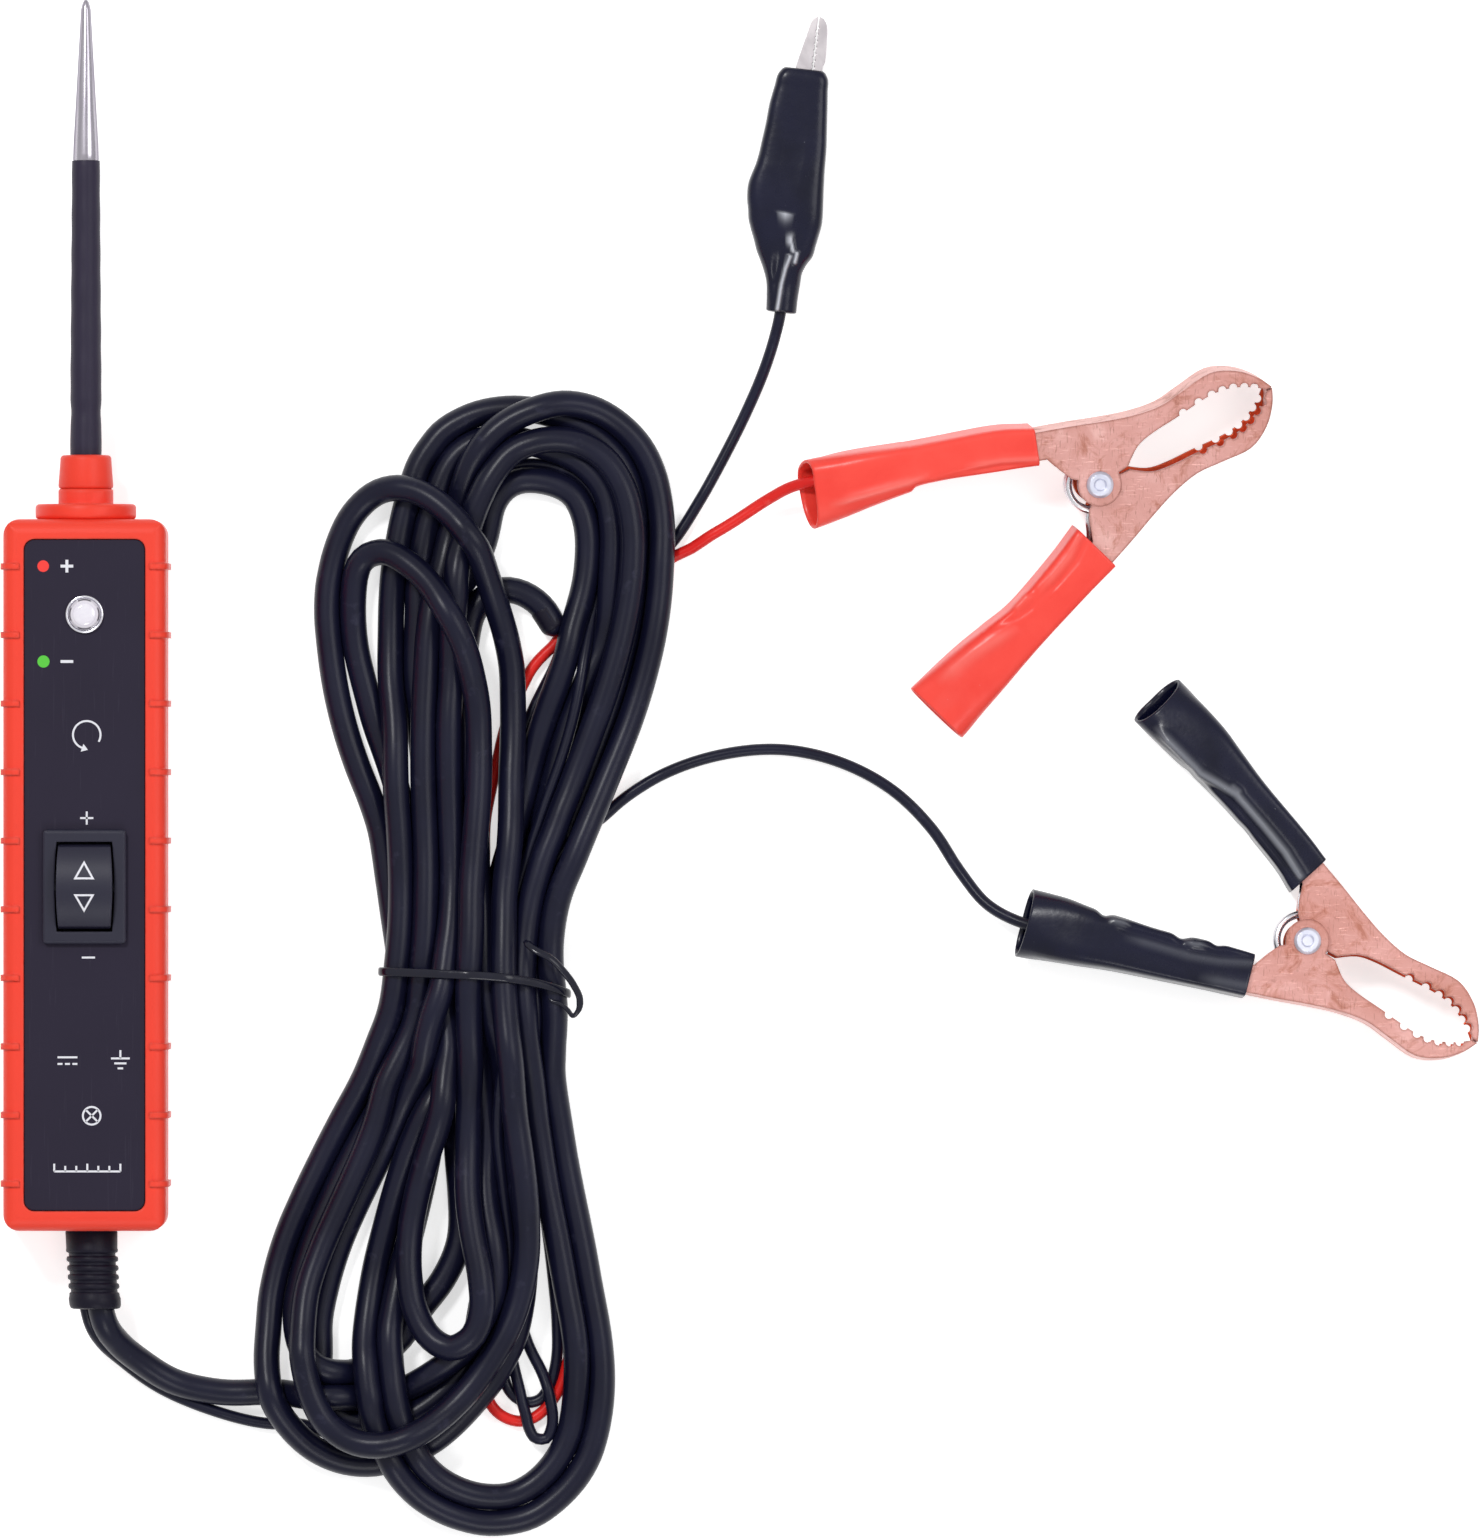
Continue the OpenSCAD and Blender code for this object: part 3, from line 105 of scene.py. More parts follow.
# The strands of the hank, in order along each cord: X and Y in millimetres, and the layer,
# where 0 lies on the surface and each whole step lies on the strand under it.
MAIN_STRANDS = (
    # In from the strain relief, and up through the waist.
    (37.1, -134.9, 0), (44.4, -135.5, 0), (51.6, -135.6, 0), (58, -134.4, 0), (62.9, -132, 0.3),
    (67.5, -128.7, 0.5), (71.3, -124.4, 0.6), (73.6, -118.4, 0.7), (74.2, -111.1, 0.7),
    (73.6, -102.9, 0.7), (72.9, -92, 0.6), (72.5, -81.1, 0.5), (72.5, -70.2, 0.3),
    (72.9, -60.2, 0), (74.4, -50.2, 0), (76, -41.1, 0), (78, -32, 0), (80.2, -22.9, 0),
    (82.5, -13.8, 0), (84.9, -6.5, 0.3), (87.6, 0.7, 1), (90, 8, 1.1), (91.6, 15.3, 1),
    # Innermost arch at the top, and down.
    (92, 21.6, 1), (90.9, 26.2, 1), (88.4, 29.8, 1), (84.5, 31.6, 1), (80.4, 32.2, 1),
    (76, 31.5, 1), (72.7, 28.9, 1), (70.7, 25.1, 1), (69.3, 19.8, 1), (67.5, 14.9, 1),
    (66, 9.8, 0.9), (65.6, 0.7, 0.8), (65.8, -8.4, 0.6), (66.4, -19.3, 0.4), (66.9, -30.2, 0.2),
    (67.3, -41.1, 0), (67.3, -52, 0), (66.9, -60.2, 0),
    # Outer round at the bottom right, and up.
    (65.1, -70.2, 0.4), (62.9, -78.4, 0.6), (60.5, -86.5, 0.8), (58.2, -94.7, 1), (56, -102.9, 1),
    (54, -111.1, 1), (52.2, -119.3, 1), (51.1, -126.5, 1), (51.3, -133.8, 0.8),
    (52.5, -140.2, 0.4), (54.7, -145.6, 0.2), (57.6, -150.2, 0), (61.5, -153.8, 0),
    (66.5, -156.4, 0), (72.5, -157.6, 0), (78.9, -157.1, 0), (84.7, -154, 0), (89.5, -148.7, 0),
    (92.4, -141.5, 0), (93.3, -133.8, 0), (92.7, -126.5, 0.2), (90.9, -117.5, 0.5),
    (89.3, -108.4, 0.8), (87.5, -99.3, 1), (85.8, -90.2, 1.2), (84.2, -81.1, 1.5),
    (83.1, -72, 1.8),
    # Tall outer arch over the others, and down.
    (82.9, -64.7, 2), (83.1, -57.5, 2), (83.8, -50.2, 2), (85.5, -43.5, 1.9), (88.2, -37.5, 1.7),
    (91.5, -30.2, 1.5), (94.5, -22.9, 1.3), (97.3, -15.6, 1.2), (99.5, -8.4, 1.1),
    (101.3, -1.1, 1.1), (102.5, 6.2, 1), (103.5, 13.5, 1), (103.6, 20.7, 1), (102.9, 27.1, 1),
    (101.3, 33.1, 1), (98.4, 38.7, 1), (93.8, 43.1, 1.1), (87.1, 45.1, 1.3), (81.3, 44.2, 1.7),
    (76.5, 42, 1.8), (72.9, 38.7, 1.6), (70.2, 34.7, 1.4), (68.5, 30.2, 1.2), (67.1, 24.4, 1.1),
    (65.5, 18, 1.1), (64, 9.8, 1.2), (62.9, 0.7, 1.3), (62.2, -8.4, 1.4), (62, -19.3, 1.6),
    (62.2, -30.2, 1.8), (62.2, -41.1, 2), (62, -52, 2), (61.1, -60.2, 2),
    # Round at the bottom that lies over all others, and up.
    (59.3, -69.3, 2), (56.9, -76, 2), (54.2, -82.9, 1.8), (51.1, -89.6, 1.6), (47.8, -96.5, 1.4),
    (44.7, -103.3, 1.2), (42.2, -109.3, 1.1), (40.2, -115.6, 1), (39.5, -122, 1),
    (39.6, -128.4, 1.4), (41.1, -134.7, 2), (44, -140, 1.6), (48.4, -143.1, 1.5),
    (54.4, -143.8, 2), (59.8, -142, 1.8), (64.9, -138.5, 1.5), (69.3, -134.2, 1.3),
    (73.1, -129.1, 1.4), (76.4, -123.3, 1.5), (78.7, -116.9, 1.6), (80, -109.8, 1.7),
    (80, -102, 1.8), (79.1, -92.9, 1.9), (77.8, -83.8, 2), (76.7, -73.8, 2.1), (76, -64.7, 2.2),
    # Left arch over everything, and down at the far left.
    (75.6, -55.6, 2.3), (75.8, -44.7, 2.3), (76.7, -35.6, 2.3), (77.3, -26.5, 2.2),
    (77.6, -19.3, 2), (77.6, -8.4, 1.8), (77.3, -2, 1.8), (76.2, 3.5, 1.9), (74.5, 8.9, 2.1),
    (72.5, 14.4, 2.4), (70.2, 19.6, 2.8), (66.7, 24.7, 3.2), (62.2, 28.4, 3), (57.1, 30, 1.8),
    (52.2, 28.7, 0.6), (48.4, 24.9, 0), (45.8, 18.9, 0), (44.7, 10.7, 0), (44.5, 2.5, 0),
    (45.3, -5.6, 0), (46.9, -12.9, 0), (49.3, -20.2, 0), (52, -26.5, 0), (54.9, -33.8, 0),
    (56.9, -41.1, 0), (58, -50.2, 0), (57.8, -59.3, 0),
    # Small hidden round at the bottom, and up.
    (56.4, -69.3, 0), (54, -77.5, 0.2), (50.5, -85.6, 0.3), (47.1, -92.5, 0.3),
    (43.8, -99.3, 0.2), (40.9, -106.5, 0.1), (38.9, -113.8, 0), (38, -121.1, 0),
    (39.3, -126.5, 0), (42.5, -130.4, 0), (47.3, -130.9, 0), (52.2, -128.5, 0), (56.7, -124, 0.2),
    (60.7, -118.9, 0.2), (64.7, -114, 0.2), (67.8, -108, 0.2), (69.3, -100.2, 0), (69.8, -92, 0),
    (70.9, -81.1, 0), (73.1, -71.1, 0), (75.3, -61.1, 0),
    # Third nested arch, and down.
    (76.7, -53.8, 0), (78.2, -44.7, 0), (80.4, -35.6, 0), (82.9, -26.5, 0.2), (85.6, -17.5, 0.5),
    (88.5, -8.4, 0.8), (91.3, -0.2, 1), (93.3, 8, 1.1), (94.4, 16.2, 1.2), (94.7, 23.5, 1.2),
    (93.5, 29.5, 1.2), (90.4, 33.5, 1.2), (85.8, 36.4, 0.8), (80.9, 38.2, 0.3), (76.4, 39.1, 0),
    (72.2, 38.5, 0), (68.4, 36.4, 0), (65.6, 32.5, 0), (64.2, 27.5, 0), (63.3, 21.3, 0),
    (62.7, 15.3, 0), (62.7, 8.9, 0), (62.9, 0.7, 0), (63.3, -8.4, 0), (63.6, -19.3, 0.3),
    (64.4, -30.2, 0.6), (64.9, -41.1, 1), (65.1, -52, 1), (65.3, -61.1, 1),
    # Small inner round, on top.
    (65.5, -70.2, 0.9), (64.7, -77.5, 1), (63.3, -84.7, 1.2), (61.5, -92, 1.5),
    (59.8, -99.3, 1.6), (58.7, -106.5, 1.6), (58.7, -113.8, 1.5), (60, -119.8, 1.4),
    (62.7, -124.4, 1.4), (66.5, -126.4, 1.4), (70.2, -124.7, 1.5), (72.4, -120.2, 1.6),
    (72.7, -113.8, 1.7), (71.6, -106.5, 1.8), (70.5, -99.3, 1.9), (69.8, -90.2, 2),
    (69.5, -81.1, 2), (69.5, -72, 2),
    # Inner left arch, and down beneath the left edge.
    (69.6, -62.9, 2), (69.6, -53.8, 2), (69.8, -44.7, 2), (70.5, -35.6, 2), (71.1, -26.5, 2),
    (71.3, -17.5, 2), (70.9, -8.4, 2), (69.6, -2.4, 2), (67.8, 3.5, 2.2), (65.5, 8.7, 2.4),
    (62, 13.5, 2.5), (57.8, 16.9, 2.2), (53.5, 18.4, 1), (50, 16.9, 0.2), (48.2, 12.9, 0),
    (47.8, 7.6, 0), (48.7, 1.6, 0), (50.5, -4.7, 0), (52.7, -11.1, 0), (54.9, -17.5, 0),
    (56.9, -24.7, 0), (58.7, -32, 0), (60.4, -41.1, 0), (61.8, -50.2, 0), (62.5, -59.3, 0),
    # Inner round at the bottom right, and up.
    (63.3, -68.4, 0), (63.3, -77.5, 0), (62.2, -85.6, 0), (60.7, -92.9, 0), (59.1, -100.2, 0),
    (57.5, -107.5, 0), (56, -114.7, 0), (54.9, -122, 0.2), (54.7, -128.4, 0.6), (55.5, -134.7, 1),
    (57.1, -140.2, 0.9), (59.6, -145.1, 0.8), (63.1, -149.5, 0.8), (68, -152.5, 1),
    (73.5, -154, 1), (78.9, -153.1, 1), (83.6, -149.5, 0.8), (87.1, -144.2, 0.5),
    (88.7, -137.8, 0.3), (89.3, -130.2, 0.5), (89.1, -122, 0.6), (88, -113.8, 0.6),
    (86.5, -105.6, 0.6), (84.7, -97.5, 0.8), (82.9, -88.4, 1), (81.3, -79.3, 1.3),
    (80, -70.2, 1.7),
    # Second nested arch, and down.
    (79.5, -61.1, 2), (79.6, -52, 2), (80.5, -44.7, 1.9), (82.7, -37.5, 1.7), (85.6, -30.2, 1.5),
    (88.5, -22.9, 1.4), (91.5, -15.6, 1.3), (94.2, -8.4, 1.2), (96.7, -0.2, 1.2), (98.5, 8, 1.2),
    (99.5, 16.2, 1.2), (99.3, 24, 1.2), (97.6, 30.7, 1.2), (94, 35.8, 1.2), (89.3, 38.4, 1.2),
    (84.7, 39.1, 1.2), (79.8, 38.5, 1.3), (75.6, 36.9, 1.3), (72.4, 33.8, 1.3), (70.2, 28.9, 1.3),
    (68.5, 22.9, 1.6), (66.7, 15.8, 2), (65.8, 8, 2), (65.6, -1.1, 2), (65.5, -8.4, 2),
    (65.5, -19.3, 2), (65.6, -30.2, 2), (65.8, -41.1, 2), (66, -52, 2), (65.5, -60.2, 1.9),
    # Hidden round at the bottom, and up.
    (63.8, -66.5, 1.6), (61.5, -72.9, 1.2), (58.5, -79.3, 0.9), (55.5, -85.6, 0.6),
    (52.2, -92, 0.4), (49.1, -98.4, 0.2), (46.2, -104.7, 0), (43.8, -111.1, 0), (42.2, -117.5, 0),
    (41.8, -124.7, 0), (42.9, -131.1, 0), (45.8, -136.4, 0), (50.7, -139.3, 0), (56.2, -139.3, 0),
    (61.6, -136.7, 0), (66.5, -132.7, 0), (70.5, -127.5, 0), (73.5, -121.5, 0.2),
    (75.1, -114.7, 0.3), (75.8, -106.5, 0.4), (76.4, -97.5, 0.5), (77.3, -86.5, 0.5),
    (78.9, -75.6, 0.5), (80.5, -65.6, 0.4),
    # Arch at the back, and down along the left edge.
    (81.5, -58.4, 0.2), (82.5, -50.2, 0.3), (84.7, -42, 0.4), (87.5, -34.7, 0.4),
    (90.4, -26.5, 0.3), (93.3, -18.4, 0.2), (96, -10.2, 0.1), (98.4, -2, 0), (100.2, 6.2, 0),
    (101.3, 14.4, 0), (101.3, 22.5, 0), (100.2, 29.8, 0), (97.3, 36.2, 0), (92.7, 40.7, 0),
    (87.1, 43.5, 0), (81.6, 44.7, 0.2), (76.2, 44.7, 0.4), (70.7, 43.3, 0.5), (66.2, 40.4, 0.6),
    (62.7, 36.2, 0.7), (60.4, 31.1, 0.9), (58.5, 25.3, 1.1), (56.9, 18.9, 1.3), (55.8, 11.6, 1.5),
    (55.3, 2.5, 1.6), (55.1, -6.5, 1.7), (55.5, -15.6, 1.8), (56.2, -24.7, 1.8),
    (57.3, -33.8, 1.9), (58.2, -42.9, 2), (58.4, -52, 2), (57.8, -59.3, 2),
    # Wide round at the bottom left, and up.
    (56.7, -66.5, 1.9), (54.7, -72.9, 1.8), (51.8, -79.3, 1.5), (48, -86.5, 1.2),
    (44.2, -93.5, 1), (40.5, -100.5, 0.9), (37.3, -107.8, 0.8), (34.9, -115.3, 0.7),
    (33.5, -122.9, 0.8), (33.1, -129.3, 1), (34.2, -135.3, 1), (37.1, -140.5, 0.6),
    (41.5, -144.7, 0.2), (47.1, -147.1, 0), (53.5, -147.3, 0), (58.9, -145.3, 0), (64, -141.8, 0),
    (68.5, -137.5, 0), (72.7, -132, 0.2), (75.8, -125.6, 0.5), (77.3, -118.4, 0.7),
    (77.5, -110.2, 0.8), (77.1, -101.1, 0.9), (76.4, -90.2, 1), (75.3, -79.3, 1),
    (73.8, -68.4, 1), (72.5, -59.3, 1), (71.6, -50.2, 1), (70.5, -41.1, 1), (69.5, -32, 1),
    # Last small arch, to the end of the jacket.
    (68, -22.9, 0.9), (66.7, -13.8, 0.7), (66, -4.7, 0.4), (66.5, 2.5, 0.2), (68.5, 8, 0),
    (72.2, 10.9, 0), (76.7, 11.6, 0), (81.3, 10, 0), (83.6, 8.2, 0), (85.5, 5.8, 0),
)
GROUND_STRANDS = (
    # Up through the waist, under the arches, down, back at the bottom right, and up.
    (38.9, -140.2, 0), (43.5, -141.8, 0), (48.9, -143.1, 0.3), (54.4, -143.3, 0.5),
    (59.3, -142.5, 0.5), (64.4, -139.3, 0.4), (68.9, -135.1, 0.4), (73.1, -129.6, 0.5),
    (75.8, -123.3, 0.6), (77.5, -115.6, 1), (77.6, -106.5, 1.2), (77.1, -95.6, 1.3),
    (76.2, -84.7, 1.3), (75.8, -73.8, 1.2), (76.2, -62.9, 1.2), (77.1, -53.8, 1.2),
    (78.9, -44.7, 1.2), (81.5, -35.6, 1.2), (84.2, -26.5, 1.2), (87.1, -17.5, 1.2),
    (89.8, -8.4, 1.2), (92.2, 0.7, 1.3), (93.8, 9.8, 1.4), (94.5, 18.9, 1.6), (93.8, 25.3, 1.6),
    (91.6, 30.4, 1.7), (88, 33.5, 1.7), (83.5, 34.5, 1.7), (78.9, 34.2, 1.7), (75.3, 32, 1.7),
    (72.9, 28.4, 1.7), (71.3, 23.5, 1.6), (69.1, 18, 1.6), (67.6, 11.6, 1.2), (67.1, 2.5, 1),
    (67.3, -8.4, 0.9), (67.6, -19.3, 0.8), (67.8, -30.2, 0.8), (68, -41.1, 0.8), (68, -52, 0.8),
    (68, -62.9, 0.7), (68.2, -73.8, 0.6), (68.7, -84.7, 0.6), (70, -95.6, 0.5),
    (71.6, -106.5, 0.5), (73.8, -117.5, 0.4), (76.5, -125.6, 0.2), (78.5, -132.9, 0.1),
    (80, -138.2, 0), (80.9, -141.3, 0), (82.5, -143.1, 0), (84.4, -142.4, 0), (85.1, -139.6, 0),
    (84.7, -136.4, 0.1), (83.3, -131.6, 0.2), (80.4, -125.8, 0.2), (78, -117.5, 0.2),
    (77.6, -106.5, 0.5), (78.4, -95.6, 0.6), (79.6, -84.7, 0.8), (80.7, -73.8, 1),
    (81.3, -62.9, 1.2), (82, -53.8, 1.2), (84.2, -44.7, 0.9), (87.3, -37.5, 0.7),
    (91.3, -30.2, 0.6), (94.4, -22.9, 0.6), (97.1, -15.6, 0.6), (99.5, -8.4, 0.6),
    (101.3, -1.1, 0.6), (102.2, 5.3, 0.6), (102.4, 11.3, 0.6),
)
RED_STRANDS = (
    # From the jacket's end down through the waist, round at the bottom, and up.
    (85.5, 5.8, 0.35), (86.2, 4.2, 0.3), (85.8, 2.5, 0.2), (84.4, 0.9, 0.2), (82.7, -0.7, 0.3),
    (80.9, -2.9, 0.5), (79.5, -5.5, 0.6), (77.6, -9.3, 0.6), (76, -13.8, 0.6), (74.7, -19.3, 0.7),
    (73.5, -24.7, 0.8), (72.4, -30.2, 0.8), (72, -37.5, 0.7), (72.4, -44.7, 0.5),
    (73.1, -53.8, 0.3), (73.6, -62.9, 0.1), (74.2, -72, 0), (74.7, -81.1, 0), (74.9, -90.2, 0),
    (74.7, -97.5, 0.2), (74.5, -103.8, 0.5), (74.7, -108.4, 0.5), (74.7, -115.6, 0.6),
    (73.8, -122.9, 0.5), (72.7, -128.7, 0.3), (72.2, -133.5, 0), (73.6, -136.9, 0),
    (76.5, -139.1, 0), (79.8, -139.5, 0), (83.1, -137.6, 0), (85.6, -134.2, 0), (87.3, -130.2, 0),
    (88.4, -126.5, 0), (88.9, -122, 0), (88.4, -113.8, 0), (86.9, -105.6, 0), (84.4, -97.5, 0.1),
    (82.7, -88.4, 0.2), (81.8, -81.1, 0.3), (81.3, -73.8, 0.4), (81.1, -64.7, 0.5),
    (81.3, -55.6, 0.5), (82.5, -46.5, 0.4), (85.5, -38.4, 0.3), (89.1, -32.9, 0.3),
    (92.4, -29.3, 0.2), (94.9, -22.9, 0.2), (97.1, -15.6, 0.1), (99.1, -8.4, 0.1),
    (100.7, -1.1, 0.1), (102.2, 6.2, 0.1), (103.5, 11.6, 0.2),
)
BLACK_STRANDS = (
    # Beside the red one, with a tighter round at the bottom.
    (85.6, 5.8, 0.25), (86.7, 4, 0.1), (87.3, 1.5, 0), (86.5, -1.5, 0), (84.4, -6.5, 0.1),
    (82.2, -11.1, 0.2), (80.4, -15.3, 0.2), (78.9, -20.2, 0.3), (77.8, -26.5, 0.3),
    (77.1, -35.6, 0.3), (76.4, -44.7, 0.4), (75.6, -55.6, 0.4), (75.3, -66.5, 0.4),
    (75.3, -77.5, 0.4), (75.6, -88.4, 0.4), (76.2, -99.3, 0.5), (76.4, -110.2, 0.5),
    (75.6, -119.3, 0.4), (75.1, -126.5, 0.2), (75.5, -131.1, 0), (76.9, -134.4, 0),
    (79.5, -136.2, 0), (82.4, -135.6, 0), (84.4, -132.9, 0.2), (85.5, -128.4, 0.5),
    (85.6, -122, 0.5), (84.9, -113.8, 0.5), (83.8, -104.7, 0.5), (82.5, -95.6, 0.4),
    (81.6, -84.7, 0.3), (80.7, -73.8, 0.4), (80.4, -62.9, 0.4), (80.9, -53.8, 0.5),
    (82.5, -44.7, 0.6), (85.3, -37.8, 0.5), (88.4, -33.5, 0.4), (91.3, -30.9, 0.3),
)
# Millimetres from one layer to the next.
LAYER = 4.1


# ---- Curves and surfaces


def smooth_curve(points, steps=24):
    """Cubic pieces through the points. The slope at a point is the mean of the slopes on its
    two sides, where the nearer neighbour counts more. Each piece gives that many points."""
    p = np.asarray(points, float)
    p = np.concatenate([[2 * p[0] - p[1]], p, [2 * p[-1] - p[-2]]])
    chord = np.linalg.norm(np.diff(p, axis=0), axis=1)[:, None]
    slope = np.diff(p, axis=0) / chord
    share = chord[:-1] / (chord[:-1] + chord[1:])
    tangent = slope[1:] * share + slope[:-1] * (1 - share)
    a, b, h = p[1:-2], p[2:-1], chord[1:-1]
    m, n = tangent[:-1] * h, tangent[1:] * h
    t = np.linspace(0, 1, steps, endpoint=False)[:, None, None]
    piece = ((2 * t**3 - 3 * t**2 + 1) * a + (t**3 - 2 * t**2 + t) * m
             + (3 * t**2 - 2 * t**3) * b + (t**3 - t**2) * n)
    return np.concatenate([piece.transpose(1, 0, 2).reshape(-1, p.shape[1]), p[-2:-1]])


def run_length(curve):
    """Distance along the curve to each of its points."""
    return np.concatenate([[0], np.cumsum(np.linalg.norm(np.diff(curve, axis=0), axis=1))])


def evened(curve, gap):
    """The curve's points at equal distances, as near to gap as fits its length."""
    along = run_length(curve)
    at = np.linspace(0, along[-1], int(round(along[-1] / gap)) + 1)
    return np.stack([np.interp(at, along, c) for c in curve.T], axis=1)


def unit(v):
    return v / np.linalg.norm(v, axis=-1, keepdims=True)


def around(n):
    """n angles once round, starting at 0."""
    return np.linspace(0, 2 * np.pi, n, endpoint=False)


def surface(name, grid, ring_u=False, ring_v=True, capped=True, sharp=None):
    """A mesh over a grid of points, rows along u and columns along v. ring_u and ring_v join
    the last row or column to the first, and capped closes the first and last rows. Its faces
    are turned outwards by the sign of the volume that they enclose. The UV map holds the
    distance along u in metres and the turn round v."""
    n, m = grid.shape[:2]
    index = np.arange(n * m).reshape(n, m)
    along = run_length(grid.mean(axis=1))
    uv = np.stack(np.broadcast_arrays(along[:, None], np.arange(m) / m), axis=-1)
    if ring_u:
        index = np.vstack([index, index[:1]])
        uv = np.concatenate([uv, uv[:1]])
    if ring_v:
        index = np.hstack([index, index[:, :1]])
        uv = np.concatenate([uv, uv[:, :1] + [0, 1]], axis=1)
    corner = [(slice(None, -1), slice(None, -1)), (slice(1, None), slice(None, -1)),
              (slice(1, None), slice(1, None)), (slice(None, -1), slice(1, None))]
    quads = np.stack([index[c] for c in corner], axis=-1).reshape(-1, 4)
    spots = np.stack([uv[c] for c in corner], axis=-2).reshape(-1, 4, 2)
    points = grid.reshape(-1, 3)
    a, b, c, d = (points[quads[:, k]] for k in range(4))
    enclosed = np.einsum("ij,ij->", a, np.cross(b, c)) + np.einsum("ij,ij->", a, np.cross(c, d))
    faces, caps = quads, []
    if capped and not ring_u:
        caps = [index[0, :m], index[-1, :m][::-1]]
        for cap in caps:
            e = points[cap]
            enclosed += np.einsum("ij,ij->", np.broadcast_to(e[0], (m - 2, 3)),
                                  np.cross(e[1:-1], e[2:]))
    if enclosed < 0:
        faces, spots = quads[:, ::-1], spots[:, ::-1]
        caps = [cap[::-1] for cap in caps]
    mesh = bpy.data.meshes.new(name)
    mesh.from_pydata(points.tolist(), [], faces.tolist() + [cap.tolist() for cap in caps])
    flat = np.zeros((len(mesh.loops), 2))
    flat[:len(faces) * 4] = spots.reshape(-1, 2)
    mesh.uv_layers.new(name="along").data.foreach_set("uv", flat.ravel())
    mesh.polygons.foreach_set("use_smooth", np.ones(len(mesh.polygons), bool))
    if sharp is not None:
        mesh.set_sharp_from_angle(angle=np.radians(sharp))
    mesh.update()
    made = bpy.data.objects.new(name, mesh)
    bpy.context.scene.collection.objects.link(made)
    return made


def swept(path, half_u, half_v, sides, up=(0, 0, 1), turn=0.0, power=2.0):
    """Rings round a path, given in metres: at each point a circle, ellipse or rounded square
    of those half sizes, square to the path, turned about it. up is a direction that the path
    never runs along."""
    t = unit(np.gradient(path, axis=0))
    side = unit(np.cross(t, np.broadcast_to(up, t.shape)))
    over = np.cross(side, t)
    angle = around(sides)[None]
    c, s = np.cos(angle), np.sin(angle)
    c, s = (np.sign(k) * np.abs(k) ** (2 / power) for k in (c, s))
    u = np.reshape(half_u, (-1, 1)) * c
    v = np.reshape(half_v, (-1, 1)) * s
    spin = np.reshape(turn, (-1, 1))
    u, v = u * np.cos(spin) - v * np.sin(spin), u * np.sin(spin) + v * np.cos(spin)
    return path[:, None] + u[..., None] * side[:, None] + v[..., None] * over[:, None]


def tube(name, path, radius, sides=16, up=(0, 0, 1)):
    """A round cord along a path, in metres, with a domed cap on each end: the cap's rings
    shrink as the cosine of the angle by which they have moved out."""
    t = unit(np.gradient(path, axis=0))
    rise = np.radians([84, 62, 38, 16])
    out = np.sin(rise)[:, None] * radius
    path = np.concatenate([path[:1] - t[:1] * out, path, path[-1:] + t[-1:] * out[::-1]])
    half = np.full(len(path), radius)
    half[:4] = radius * np.cos(rise)
    half[-4:] = half[3::-1]
    return surface(name, swept(path, half, half, sides, up))


def lathe(name, half, origin, axis="y", sides=72, sharp=40, hollow=False):
    """A half section of (radius, distance along the axis), in millimetres, turned round the
    axis through origin. A hollow one is a closed ring of section."""
    r, h = np.asarray(half, float).T * MM
    angle = around(sides)
    x, y = np.outer(r, np.cos(angle)), np.outer(r, np.sin(angle))
    h = np.broadcast_to(h[:, None], x.shape)
    grid = np.stack({"y": (x, h, y), "z": (x, y, h)}[axis], axis=-1)
    return surface(name, grid + np.asarray(origin) * MM, ring_u=hollow, sharp=sharp)


def arc(centre, r, start, end, n=6):
    """Points on a circle, from one angle to another, in degrees."""
    a = np.radians(np.linspace(start, end, n + 1))
    return [(centre[0] + r * c, centre[1] + r * s) for c, s in zip(np.cos(a), np.sin(a))]


def placed(points, at, turn):
    """Points of a clip's own frame, in millimetres, turned about X, Y and Z, moved to the
    clip's place, and given in metres."""
    rx, ry, rz = np.radians(turn)
    cx, sx, cy, sy, cz, sz = (f(a) for a in (rx, ry, rz) for f in (np.cos, np.sin))
    about_x = np.array([[1, 0, 0], [0, cx, -sx], [0, sx, cx]])
    about_y = np.array([[cy, 0, sy], [0, 1, 0], [-sy, 0, cy]])
    about_z = np.array([[cz, -sz, 0], [sz, cz, 0], [0, 0, 1]])
    return (np.asarray(points) @ (about_z @ about_y @ about_x).T + at) * MM


def bell(x, centre, width):
    """A smooth hill: 1 at the centre, and near 0 two widths away."""
    return np.exp(-(((x - centre) / width) ** 2))


# ---- Finishes


def paint(red, green, blue):
    """A screen colour of 0 to 255, as the linear colour that a shader takes."""
    c = np.array([red, green, blue]) / 255
    return (*np.where(c <= 0.04045, c / 12.92, ((c + 0.055) / 1.055) ** 2.4), 1.0)


class Value:
    """A node's output. Arithmetic on it adds the Math nodes."""

    def __init__(self, nodes, socket):
        self.nodes, self.socket = nodes, socket

    def maths(self, operation, *others, clamp=False):
        return self.nodes.node("ShaderNodeMath", {"operation": operation, "use_clamp": clamp},
                               dict(enumerate([self, *others])))

    def __add__(self, other):
        return self.maths("ADD", other)

    def __mul__(self, other):
        return self.maths("MULTIPLY", other)

    def __sub__(self, other):
        return self.maths("SUBTRACT", other)

    def __rsub__(self, other):
        return self.maths("MULTIPLY_ADD", -1.0, other)

    def __truediv__(self, other):
        return self.maths("DIVIDE", other)

    __radd__ = __add__
    __rmul__ = __mul__

    def over(self, edge, soft):
        """0 up to the edge, and 1 from soft past it."""
        return self.maths("MULTIPLY_ADD", 1 / soft, -edge / soft, clamp=True)


